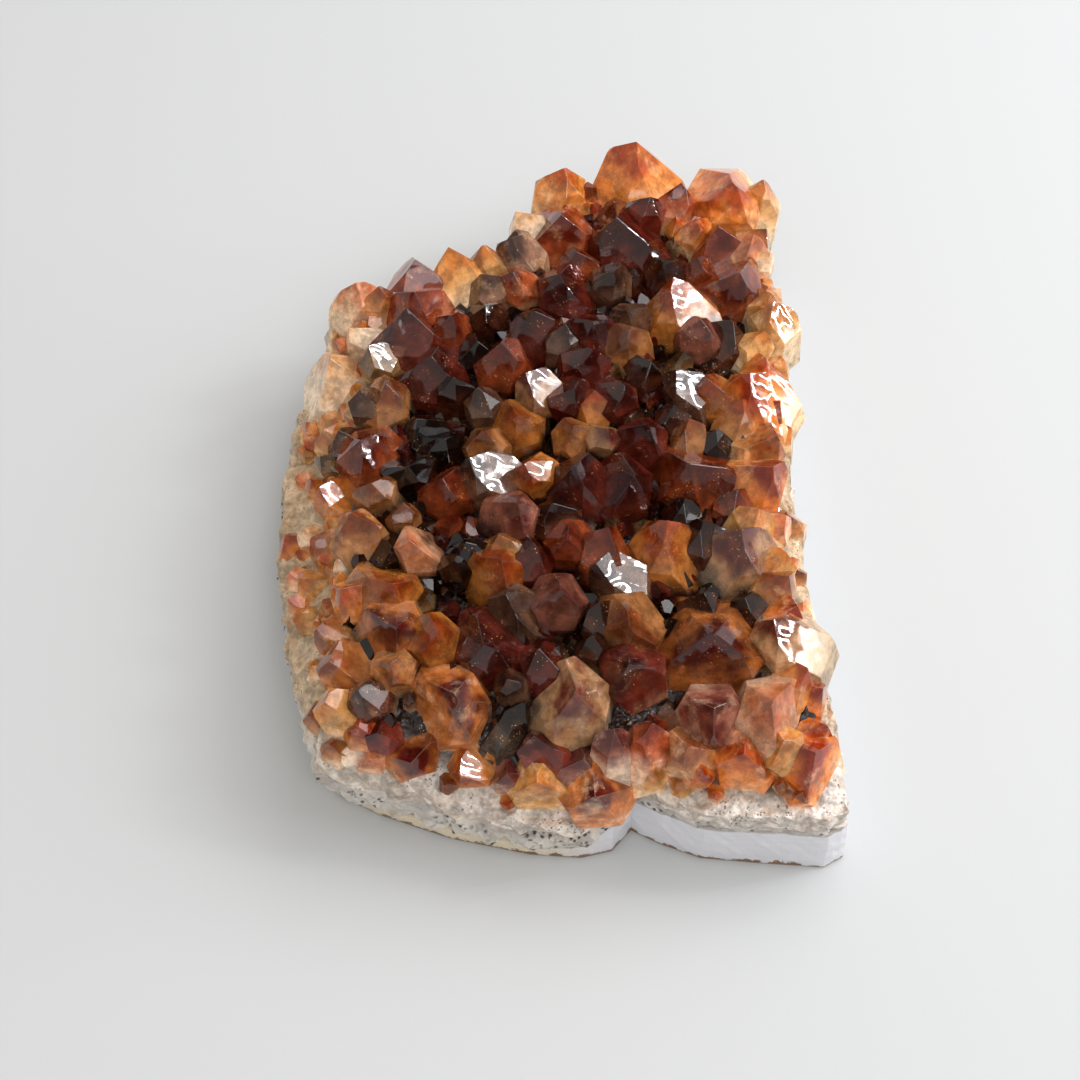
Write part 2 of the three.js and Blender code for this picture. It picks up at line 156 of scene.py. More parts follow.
MIDDLE_POINTS = (
    (-3, 20.2, 9.5, 7.5, 10, 240, GARNET), (2, 19.5, 8, 5, 8, 90, SMOKY),
    (7, 20, 9.5, 7.5, 12, 280, GARNET), (13.4, 17.8, 9, 7.5, 12, 300, TAN),
    (-8.8, 12.8, 10, 8, 12, 200, RUST), (-3.6, 7.4, 9.5, 7, 21, 183, VEILED),
    (3.2, 4.8, 9.5, 7, 12, 300, GARNET), (7.3, 4.2, 8, 5, 10, 30, AMBER),
    (11.4, 4.9, 9, 7.4, 12, 320, GARNET), (-12, 5.5, 8.5, 5.5, 10, 150, SMOKY),
    (-11.6, -4.8, 9, 6.5, 10, 210, TAN), (-5, -0.5, 9.5, 8.5, 10, 250, AMBER),
    (3, -3, 8.5, 6, 12, 270, TAN), (9, -3.5, 8.5, 5.5, 12, 330, VEILED),
    (15, -4.4, 9.5, 7.5, 12, 260, GARNET), (-4.3, -11.2, 9, 6.5, 26, 201, AMBER),
    (-12.8, -10, 9.5, 9, 21, 182, SMOKY), (4.2, -12.2, 10, 10, 10, 250, GARNET),
    (12, -13.2, 9.5, 10, 12, 280, GARNET), (-21.4, -25, 9.5, 7, 12, 300, PEACH),
    (-16, -28, 8, 5.5, 12, 260, BLACK), (-6.4, -20.3, 10, 8.5, 14, 250, MAUVE),
    (-8.5, -24.5, 8.5, 5.5, 14, 150, HONEY), (-13.3, -25.5, 8, 6.5, 10, 200, BLACK),
    (-9, -30.2, 9.5, 10, 16, 265, AMBER), (-3.5, -25.5, 8.5, 6.5, 10, 20, GARNET),
    (3, -25, 9, 7, 14, 260, RUST), (9.4, -24, 10, 7, 14, 40, RUST), (7.5, -29.8, 9, 7.5, 29, 205, SMOKY),
    (-17, -12.5, 8, 8, 12, 220, RUST), (6.5, 13, 8.5, 7.5, 10, 340, GARNET),
    (-16, 8.5, 8, 6, 8, 30, BROWN), (-16.5, 21.5, 8.5, 7, 10, 320, RUST),
    (-11, 24, 7.5, 6, 8, 270, BROWN), (16, 11.5, 7.5, 6.5, 10, 300, BROWN),
)
RIGHT_POINTS = (
    (25, 19, 9, 6.5, 10, 300, MAUVE), (21.2, 8.2, 9.5, 6.4, 21, 136, SMOKY),
    (26.1, 7.2, 9, 7, 10, 200, AMBER), (32.9, 7.1, 10.6, 10.4, 6, 199, ORANGE),
    (39.2, 15.5, 7, 5, 26, 20, HONEY), (36.2, 19, 8, 5.5, 22, 30, HONEY),
    (22.5, -1.5, 8.5, 5.5, 10, 120, TAN), (27, -2.5, 7.5, 6, 10, 60, BLACK),
    (36, -2.5, 8.5, 8, 22, 350, TAN), (22.5, -9.8, 10.5, 13, 12, 230, RUST),
    (35, -9.6, 10, 10, 14, 330, ORANGE), (17.4, -22.8, 10, 10.8, 6, 90, AMBER),
    (24, -21, 9, 7.5, 10, 100, BROWN), (32.5, -19, 9.5, 8, 14, 20, HONEY),
    (38, -18.5, 7.5, 5.5, 30, 10, PEACH), (29.3, -23.6, 10.5, 11.5, 8, 100, VEILED),
    (37, -25.5, 8, 6, 24, 10, HONEY), (36.5, -30.5, 8.5, 6.5, 22, 350, TAN),
    (37.5, -35, 8, 8, 26, 0, ORANGE), (29.5, -35, 7.5, 5.5, 10, 200, BROWN),
    (22.7, -34.5, 7.5, 6, 10, 160, BROWN), (33.8, -40.2, 10.5, 10, 9, 172, VEILED),
    (38.2, -46.5, 8.5, 6.5, 22, 0, AMBER), (41, -47.2, 7, 6, 30, 350, ORANGE),
    (30, 20.6, 8, 7, 10, 20, BROWN), (31, 3.5, 8, 7, 10, 90, AMBER), (38.2, 5.5, 7, 5.5, 30, 0, ORANGE),
    (29.5, -13.5, 7, 6, 10, 80, RUST),
)
FRONT_POINTS = (
    (-25, -31.8, 9.5, 10, 14, 300, AMBER), (-24.8, -41.4, 9.5, 9.5, 24, 265, EMBER),
    (-18, -42, 9.5, 7.4, 18, 300, AMBER), (-25, -47, 8.5, 6, 16, 250, TAN),
    (-15.6, -53, 10, 11, 24, 260, EMBER), (-10, -44, 9.5, 11.5, 18, 265, GARNET),
    (-29.4, -50, 7.5, 5.5, 18, 220, BROWN), (-34.8, -51.6, 6, 7, 30, 225, HONEY),
    (-29, -54, 6.5, 6.5, 30, 245, ORANGE), (-26.6, -54.8, 6.8, 5, 22, 260, GARNET),
    (-37.8, -49.8, 3.5, 4.8, 40, 215, TAN), (-21.8, -57.6, 7.4, 9.2, 36, 262, EMBER),
    (-28.6, -56.8, 4.6, 6.2, 40, 240, PEACH), (-8, -36.3, 9, 8, 14, 230, SMOKY),
    (1.2, -36, 9.5, 8, 14, 280, MAUVE), (8, -36, 7.5, 5.5, 8, 60, BROWN),
    (6.5, -41.5, 7, 5.5, 8, 120, BROWN), (13, -41.3, 9.5, 10, 24, 268, TAN),
    (11.8, -49, 9, 9, 22, 262, GARNET), (-1.5, -44.3, 8.5, 7.5, 12, 110, GARNET),
    (2.1, -52.1, 10.8, 11.5, 22, 262, VEILED), (-6.6, -49, 8, 4.5, 12, 200, SMOKY),
    (23.8, -44.6, 10.5, 15, 18, 255, EMBER), (23, -54, 8.5, 9, 18, 260, MAUVE),
    (34.2, -53.8, 10, 11, 18, 290, PEACH), (41.4, -54.2, 6, 5.5, 30, 350, ORANGE),
    (20.6, -58, 8.5, 7.5, 16, 300, TAN), (23, -60.6, 5.8, 5, 30, 285, ORANGE),
    (28.2, -60.2, 8, 9, 28, 275, ORANGE), (33.6, -57.8, 8.5, 6.6, 22, 250, HONEY),
    (40.2, -59.6, 8, 9.5, 24, 300, ORANGE), (14.2, -60.2, 6, 6.8, 30, 280, HONEY),
    (5.8, -64.2, 9.4, 10.5, 38, 268, EMBER), (-2.4, -62.9, 8.6, 8.6, 38, 262, HONEY),
    (4.4, -58.8, 8.5, 8.5, 16, 280, MAUVE), (-3, -56.8, 8.5, 6.5, 16, 220, GARNET),
    (-0.4, -58.2, 6.6, 4.2, 22, 270, SMOKY), (-7.6, -59.4, 6.4, 4.5, 24, 250, MAUVE),
    (9, -55.4, 7.8, 5.5, 12, 80, MAUVE), (15.4, -56, 8, 6, 14, 30, RUST),
    (-13.6, -59.6, 6.6, 7.2, 43, 248, AMBER),
)
# Smaller points in the gaps between the large ones
SPARE_POINTS = (
    (19.3, 35, 7.5, 7, 10, 250, BROWN), (-13, 16.4, 7.5, 6.5, 8, 300, BLACK),
    (20.2, 1.8, 7.5, 5.5, 8, 60, BROWN), (35.5, 13.8, 7.5, 6, 14, 20, AMBER),
    (0.5, -19, 8, 7, 8, 260, BROWN), (20.8, -16.6, 7.5, 5.5, 10, 100, BLACK),
    (25.3, 36.5, 7.5, 5.5, 10, 200, RUST), (-41, -24.5, 4.5, 5.5, 42, 188, HONEY),
)

# Way that the broadest face looks, in degrees about the axis, for the points that show one whole
BROAD_FACES = {
    25: 311, 26: 319, 34: 339, 42: 349, 60: 339, 70: 350,
    71: 341, 83: 356, 91: 321, 93: 332, 111: 338, 158: 30,
}


def srgb(red: int, green: int, blue: int) -> Colour:
    """Gives the linear colour of a screen colour from 0 to 255."""
    levels = (red / 255, green / 255, blue / 255)
    return tuple(v / 12.92 if v <= 0.04045 else ((v + 0.055) / 1.055) ** 2.4 for v in levels)


@dataclass(frozen=True)
class Shade:
    """The colours of one tint inside a point, from its tip to its root."""

    core: Colour
    body: Colour
    root: Colour
    clear: float
    cloud: float


SHADES = {
    HONEY: Shade(srgb(206, 126, 54), srgb(230, 176, 108), srgb(240, 220, 190), 0.66, 0.50),
    AMBER: Shade(srgb(180, 78, 26), srgb(232, 150, 72), srgb(238, 204, 160), 0.66, 0.45),
    ORANGE: Shade(srgb(160, 52, 18), srgb(240, 144, 64), srgb(242, 206, 164), 0.62, 0.45),
    EMBER: Shade(srgb(92, 18, 14), srgb(224, 136, 70), srgb(238, 200, 156), 0.62, 0.45),
    PEACH: Shade(srgb(204, 116, 74), srgb(236, 176, 136), srgb(240, 218, 196), 0.48, 0.60),
    MILKY: Shade(srgb(222, 170, 120), srgb(234, 208, 178), srgb(232, 222, 210), 0.34, 0.85),
    TAN: Shade(srgb(146, 74, 34), srgb(206, 140, 84), srgb(230, 196, 158), 0.68, 0.45),
    VEILED: Shade(srgb(116, 52, 44), srgb(226, 174, 126), srgb(240, 214, 182), 0.54, 0.62),
    RUST: Shade(srgb(112, 32, 16), srgb(180, 84, 44), srgb(222, 160, 116), 0.68, 0.40),
    GARNET: Shade(srgb(66, 16, 14), srgb(128, 50, 38), srgb(180, 110, 80), 0.68, 0.32),
    # Brown with a lilac tinge that is a painted sky sheen
    MAUVE: Shade(srgb(100, 44, 42), srgb(164, 102, 86), srgb(224, 188, 162), 0.58, 0.50),
    SMOKY: Shade(srgb(76, 44, 34), srgb(146, 106, 84), srgb(190, 154, 124), 0.74, 0.32),
    OLIVE: Shade(srgb(86, 60, 32), srgb(158, 120, 74), srgb(194, 162, 120), 0.74, 0.35),
    BROWN: Shade(srgb(46, 18, 12), srgb(104, 54, 36), srgb(130, 78, 52), 0.76, 0.20),
    BLACK: Shade(srgb(16, 7, 6), srgb(40, 20, 15), srgb(56, 30, 22), 0.70, 0.10),
}
# Dark root colour among the points: painted shade of the crevices over their own deep colour
SHADED_ROOT = srgb(34, 14, 10)
BED_FRONT = srgb(218, 210, 202)
BED_SIDE = srgb(198, 174, 142)
BED_FRONT_SPAN = (-58, -46)


class Trait(IntEnum):
    """What a point's repeatable numbers decide."""

    SKEW_X = 1
    SKEW_Y = 2
    TURN = 3
    BROAD_SIDE = 4
    BROAD_DEPTH = 5
    LIGHTNESS = 6
    FACE_DEPTH = 20


def ease(start: float, end: float, value: float) -> float:
    """Rises smoothly from 0 at start to 1 at end."""
    part = min(1.0, max(0.0, (value - start) / (end - start)))
    return part * part * (3 - 2 * part)


def along_table(table: tuple[tuple[float, float], ...], at: float) -> float:
    """Reads a table of (key, value) pairs at a key between two of its rows.

    Args:
        table: The rows, by rising key.
        at: The key to read at.

    Returns:
        The value there, held level beyond both ends.
    """
    if at <= table[0][0]:
        return table[0][1]
    for (low_key, low), (high_key, high) in zip(table, table[1:]):
        if at <= high_key:
            return low + (high - low) * (at - low_key) / (high_key - low_key)
    return table[-1][1]


def chance(index: int, trait: int) -> float:
    """Gives a repeatable number from 0 to 1 for one point and one trait of it.

    Args:
        index: The point's number.
        trait: What the number decides.

    Returns:
        The number.
    """
    by_index, by_trait, spread = CHANCE_WAVES
    wave = math.sin(index * by_index + trait * by_trait) * spread
    return wave - math.floor(wave)


def mixed(first: Colour, second: Colour, part: float) -> Colour:
    """Mixes two colours by a part from 0 to 1."""
    return tuple(a + (b - a) * part for a, b in zip(first, second))


def bed_colour(y: float) -> Colour:
    """Gives the pale crust's colour: grey at the front wall, honey tan along the sides."""
    return mixed(BED_FRONT, BED_SIDE, ease(*BED_FRONT_SPAN, y))


def inside_outline(x: float, y: float) -> bool:
    """Says whether a place lies inside the slab's outline.

    Args:
        x: How far right the place is, in millimetres.
        y: How far back it is.

    Returns:
        True when it does.
    """
    inside = False
    for (ax, ay), (bx, by) in zip(OUTLINE, OUTLINE[1:] + OUTLINE[:1]):
        if (ay > y) != (by > y) and x < ax + (bx - ax) * (y - ay) / (by - ay):
            inside = not inside
    return inside


def rim_distance(x: float, y: float) -> float:
    """Gives how far a place is from the slab's outline, in millimetres.

    Args:
        x: How far right the place is, in millimetres.
        y: How far back it is.

    Returns:
        The shortest distance, inside or out.
    """
    nearest = math.inf
    for (ax, ay), (bx, by) in zip(OUTLINE, OUTLINE[1:] + OUTLINE[:1]):
        run = Vector((bx - ax, by - ay))
        part = min(1.0, max(0.0, (Vector((x - ax, y - ay)) @ run) / run.length_squared))
        nearest = min(nearest, math.hypot(ax + run.x * part - x, ay + run.y * part - y))
    return nearest


def mesh_object(name: str, shape: bmesh.types.BMesh, home: bpy.types.Collection) -> bpy.types.Object:
    """Turns a bmesh into an object at the origin.

    Args:
        name: The object's name.
        shape: The bmesh, which is freed.
        home: The collection that the object goes in.

    Returns:
        The new object.
    """
    mesh = bpy.data.meshes.new(name)
    shape.to_mesh(mesh)
    shape.free()
    piece = bpy.data.objects.new(name, mesh)
    home.objects.link(piece)
    return piece


class Join(Enum):
    """How one solid meets another."""

    UNION = "UNION"
    CUT = "DIFFERENCE"
    KEEP = "INTERSECT"


def combine(piece: bpy.types.Object, join: Join, other: bpy.types.Object | bpy.types.Collection) -> None:
    """Joins a solid with another one, or with every solid in a collection.

    Args:
        piece: The solid whose mesh changes.
        join: How they meet.
        other: The solid or solids that it meets.
    """
    tool = piece.modifiers.new("join", "BOOLEAN")
    tool.operation = join.value
    tool.solver = "MANIFOLD"
    if isinstance(other, bpy.types.Collection):
        tool.operand_type = "COLLECTION"
        tool.collection = other
    else:
        tool.object = other
    graph = bpy.context.evaluated_depsgraph_get()
    mesh = bpy.data.meshes.new_from_object(piece.evaluated_get(graph))
    piece.modifiers.remove(tool)
    old = piece.data
    piece.data = mesh
    bpy.data.meshes.remove(old)


def discard(things: list[bpy.types.Object]) -> None:
    """Deletes working solids that no piece needs any more.

    Args:
        things: The solids.
    """
    meshes = [thing.data for thing in things]
    for thing in things:
        bpy.data.objects.remove(thing)
    for mesh in meshes:
        bpy.data.meshes.remove(mesh)


@dataclass(frozen=True)
class Wall:
    """How a layer's broken wall is laid out, in millimetres."""

    cell: float
    grain: float
    grain_size: float
    lumps: float = 1.0


@dataclass
class Slab:
    """The slab's layers and broken walls, as plain solids for the pieces to start from."""

    bed_height: float = 23.0
    bed_high_x: float = 4.0
    dome_across: float = 0.0015
    dome_along: float = 0.0006
    crust_thick: float = 3.0
    front_fall: float = 10.0
    notch_lift: float = 4.6
    right_lift: float = 1.4
    left_fall: float = 6.5
    right_fall: float = 2.5
    notch_span: Pair = (3, 14)
    right_span: Pair = (20, 40)
    front_rim_span: Pair = (-49, -63)
    left_rim_span: Pair = (-32, -44)
    right_rim_span: Pair = (35, 42)
    agate_thin: float = 2.6
    agate_thick: float = 10.4
    agate_span: Pair = (2, 13)
    wall_top: float = 36.0
    left_wall_span: Pair = (-20, -38)
    right_wall_span: Pair = (26, 40)
    foot_span: Pair = (0, 2)
    roughness: float = 0.55
    short_waves: tuple[float, float, float, float] = (1.7, 0.9, 1.3, 1.1)
    long_waves: tuple[float, float, float] = (0.6, 0.8, 0.7)
    long_share: float = 0.6
    along_share: float = 0.6
    crust_foot_cell: float = 4.0

    def bed_top(self, x: float, y: float) -> float:
        """Gives the height of the root crust's top: a low dome with falling rims.

        Args:
            x: How far right the place is, in millimetres.
            y: How far back it is.

        Returns:
            The height over the foot.
        """
        dome = self.bed_height - self.dome_across * (x - self.bed_high_x) ** 2 - self.dome_along * y**2
        front_drop = self.front_fall - self.notch_lift * ease(*self.notch_span, x)
        front_drop -= self.right_lift * ease(*self.right_span, x)
        front_rim = front_drop * ease(*self.front_rim_span, y)
        left_rim = self.left_fall * ease(*self.left_rim_span, x)
        right_rim = self.right_fall * ease(*self.right_rim_span, x)
        return dome - max(front_rim, left_rim, right_rim)

    def crust_foot(self, x: float, y: float) -> float:
        """Gives the height of the root crust's underside."""
        return self.bed_top(x, y) - self.crust_thick

    def agate_top(self, x: float, y: float) -> float:
        """Gives the height of the agate rind's top, a thin lip on the left and a band on the right."""
        return self.agate_thin + (self.agate_thick - self.agate_thin) * ease(*self.agate_span, x)

    def lump(self, x: float, y: float, z: float) -> float:
        """Gives the wall's large lumps, as crossing waves with turns in radians per millimetre.

        Args:
            x: How far right the place is, in millimetres.
            y: How far back it is.
            z: How high it is.

        Returns:
            How far the wall stands out, with 1 as a common lump.
        """
        across, up, along, down = self.short_waves
        short = math.sin(across * x + up * z) * math.cos(along * y - down * z)
        across, along, up = self.long_waves
        return short + self.long_share * math.sin(across * x - along * y + up * z)

    def block(self, home: bpy.types.Collection, wall: Wall) -> bpy.types.Object:
        """Builds the whole slab as one block with flared, lumpy walls.

        Args:
            home: The collection for the working solid.
            wall: The longest edge of a wall's faces, how far its small grain stands in or out, how
                wide one grain is, and the share of the large lumps that it keeps.

        Returns:
            The block.
        """
        shape = bmesh.new()
        foot = [shape.verts.new((x * MM, y * MM, 0)) for x, y in OUTLINE]
        bmesh.ops.contextual_create(shape, geom=foot)
        for edge in list(shape.edges):
            cuts = math.ceil(edge.calc_length() / (wall.cell * MM)) - 1
            if cuts > 0:
                bmesh.ops.subdivide_edges(shape, edges=[edge], cuts=cuts)
        rim = list(shape.edges)
        levels = math.ceil(self.wall_top / wall.cell)
        for _ in range(levels):
            grown = bmesh.ops.extrude_edge_only(shape, edges=rim)["geom"]
            risen = [part for part in grown if isinstance(part, bmesh.types.BMVert)]
            bmesh.ops.translate(shape, verts=risen, vec=(0, 0, self.wall_top / levels * MM))
            fresh = set(risen)
            rim = [
                part
                for part in grown
                if isinstance(part, bmesh.types.BMEdge) and fresh.issuperset(part.verts)
            ]
        bmesh.ops.contextual_create(shape, geom=rim)
        bmesh.ops.recalc_face_normals(shape, faces=shape.faces)
        for vert in shape.verts:
            x, y, z = (vert.co / MM)[:]
            flare = along_table(LEFT_FLARE, z) * ease(*self.left_wall_span, x)
            flare += along_table(RIGHT_FLARE, z) * ease(*self.right_wall_span, x)
            pit = noise.fractal(Vector((x, y, z)) / wall.grain_size, *PIT_LAYERS)
            rough = self.roughness * wall.lumps * self.lump(x, y, z) + wall.grain * pit
            out = flare + rough * ease(*self.foot_span, z)
            reach = math.hypot(x, self.along_share * y) or 1.0
            vert.co.x += out * x / reach * MM
            vert.co.y += out * self.along_share * y / reach * MM
        bmesh.ops.triangulate(shape, faces=[face for face in shape.faces if len(face.verts) > 4])
        return mesh_object("block", shape, home)

    def under(
        self,
        home: bpy.types.Collection,
        height: Callable[[float, float], float],
        cell: float,
        bumps: float = 0.0,
    ) -> bpy.types.Object:
        """Builds all that is under a surface, wide enough to cut the whole slab.

        Args:
            home: The collection for the working solid.
            height: Gives the surface's height at x and y.
            cell: The width of the surface's faces.
            bumps: How far small lumps raise or lower it.

        Returns:
            The cutting solid.
        """
        width, length, floor = CUTTER_SIZE
        shape = bmesh.new()
        bmesh.ops.create_grid(
            shape,
            x_segments=round(width / cell),
            y_segments=round(length / cell),
            size=0.5,
            matrix=Matrix.Diagonal((width * MM, length * MM, 1, 1)),
        )
        top = list(shape.verts)
        grown = bmesh.ops.extrude_face_region(shape, geom=list(shape.faces))["geom"]
        for vert in top:
            vert.co.z = floor * MM
        for part in grown:
            if isinstance(part, bmesh.types.BMVert):
                x, y = part.co.x / MM, part.co.y / MM
                bump = bumps * noise.noise(Vector((x, y, 0)) * BUMPS_PER_MM) if bumps else 0.0
                part.co.z = (height(x, y) + bump) * MM
        bmesh.ops.recalc_face_normals(shape, faces=shape.faces)
        return mesh_object("under", shape, home)


@dataclass(frozen=True)
class Point:
    """One point: where its tip is, how it stands, and its tint."""

    x: float
    y: float
    rise: float
    across: float
    lean: float
    towards: float
    tint: Tint


@dataclass
class PointShape:
    """The form of one hexagonal point, in shares of its corner radius."""

    shoulder: float = 1.1
    foot_spread: float = 1.25
    least_top: float = 0.3
    skew: float = 0.5
    apex: float = 0.45
    broad_low: float = 0.05
    broad_range: float = 0.4
    even_range: float = 0.10
    small_low: float = 0.05
    small_range: float = 0.42
    tip_share: float = 0.7
    face_tilt: float = math.radians(51.8)
    edge_wear: float = 0.016

    def broad_side(self, index: int) -> int:
        """Picks which of a point's six top faces is the broadest."""
        return int(chance(index, Trait.BROAD_SIDE) * (SIDES // 2)) * 2

    def turn(self, index: int) -> float:
        """Gives a point's turn about its own axis, in radians.

        Args:
            index: Number of the point.

        Returns:
            Its turn, which is set for the points that show one whole face.
        """
        if index in BROAD_FACES:
            return math.radians(BROAD_FACES[index] - SIDE_TURN * self.broad_side(index))
        return chance(index, Trait.TURN) * 2 * math.pi

    def face_height(self, radius: float, index: int, side: int) -> float:
        """Gives where the plane of a top face meets the axis.

        Args:
            radius: Corner radius at the shoulders.
            index: Number of the point.
            side: Number of the face, from 0 to 5.

        Returns:
            The height over the shoulders' end. Every second face is larger than its neighbours.
        """
        if side == self.broad_side(index):
            return -radius * (self.broad_low + self.broad_range * chance(index, Trait.BROAD_DEPTH))
        depth = chance(index, Trait.FACE_DEPTH + side)
        if side % 2 == 0:
            return self.even_range * radius * depth
        return radius * (self.small_low + self.small_range * depth)

    def build(self, radius: float, length: float, index: int, worn: bool) -> bmesh.types.BMesh:
        """Builds one point, its tip at the origin and its body below it.

        Args:
            radius: Corner radius at the shoulders.
            length: From tip to foot.
            index: Number of the point, for its own unevenness.
            worn: Whether its edges are bevelled.

        Returns:
            The point as a bmesh, in metres.
        """
        shoulder = self.shoulder * radius
        foot = radius * self.foot_spread
        body = max(length - shoulder, shoulder)
        top = max(self.least_top * radius, radius - (foot - radius) * shoulder / body)
        shape = bmesh.new()
        bmesh.ops.create_cone(
            shape, cap_ends=True, segments=SIDES, radius1=foot * MM, radius2=top * MM, depth=length * MM
        )
        off_axis = Vector((chance(index, Trait.SKEW_X) - 0.5, chance(index, Trait.SKEW_Y) - 0.5, 0))
        skew = off_axis * self.skew * radius
        bmesh.ops.translate(shape, verts=shape.verts, vec=(Vector((0, 0, -length / 2)) - skew) * MM)
        bmesh.ops.translate(shape, verts=shape.verts, vec=(0, 0, self.apex * radius * MM))
        for side in range(SIDES):
            turn = math.radians(SIDE_TURN * side)
            level = math.sin(self.face_tilt)
            cut = bmesh.ops.bisect_plane(
                shape,
                geom=shape.verts[:] + shape.edges[:] + shape.faces[:],
                plane_co=(0, 0, self.face_height(radius, index, side) * MM),
                plane_no=Vector((level * math.cos(turn), level * math.sin(turn), math.cos(self.face_tilt))),
                clear_outer=True,
            )["geom_cut"]
            edges = [part for part in cut if isinstance(part, bmesh.types.BMEdge)]
            if edges:
                bmesh.ops.contextual_create(shape, geom=edges)
        bmesh.ops.remove_doubles(shape, verts=shape.verts, dist=MERGE)
        peak = max(vert.co.z for vert in shape.verts)
        bmesh.ops.translate(shape, verts=shape.verts, vec=(0, 0, -self.tip_share * peak))
        # Marks the bevelled edges for a paler colour: partly chipped, partly a painted edge highlight
        wear_and_sheen = shape.faces.layers.float.new("wear_and_sheen")
        if worn:
            rounded = bmesh.ops.bevel(
                shape,
                geom=shape.edges[:],
                offset=self.edge_wear * radius * MM,
                segments=1,
                profile=0.5,
                affect="EDGES",
                clamp_overlap=True,
                material=-1,
            )["faces"]
            for face in rounded:
                face[wear_and_sheen] = 1.0
        return shape


@dataclass
class PointDress:
    """How a point's colours are written on its corners, from its tip to the crust it stands in."""

    bed_share: float = 0.5
    rim_cloud: float = 0.14
    inner_shade_reach: float = 0.10
    rim_clear: float = 0.62
    inner_clear: float = 0.38

    def write(
        self,
        mesh: bpy.types.Mesh,
        shade: Shade,
        reach: float,
        lightness: float,
        inner: float,
        bed: Colour,
    ) -> None:
        """Writes a point's colours and its depth below the tip.

        Args:
            mesh: The point's mesh, before it is placed.
            shade: Its colours.
            reach: Height of the point over the bed, in metres.
            lightness: How much darker or lighter than its shade it is.
            inner: How far its root goes to the dark middle colour, which is painted shade between the points
                over their own dark colour, from 0 at the rim to 1 in the middle.
            bed: Colour of the crust that it stands in.
        """
        corners = len(mesh.loops)
        # The root goes towards the dark middle colour, a painted shade between the points
        root = mixed(mixed(shade.root, bed, self.bed_share), SHADED_ROOT, inner)
        for name, colour in (("core_tint", shade.core), ("body_tint", shade.body), ("root_tint", root)):
            layer = mesh.attributes.new(name, "FLOAT_COLOR", "CORNER")
            layer.data.foreach_set("color", [*(c * lightness for c in colour), 1.0] * corners)
        depth = mesh.attributes.new("depth", "FLOAT", "CORNER")
        depth.data.foreach_set(
            "value", [-mesh.vertices[loop.vertex_index].co.z / reach for loop in mesh.loops]
        )
        # In the middle the root's painted shade reaches further up the point
        cloud = shade.cloud + self.rim_cloud + self.inner_shade_reach * inner
        clear = shade.clear * (self.rim_clear + self.inner_clear * inner)
        for name, value in (("clear", clear), ("cloud", cloud)):
            layer = mesh.attributes.new(name, "FLOAT", "CORNER")
            layer.data.foreach_set("value", [value] * corners)


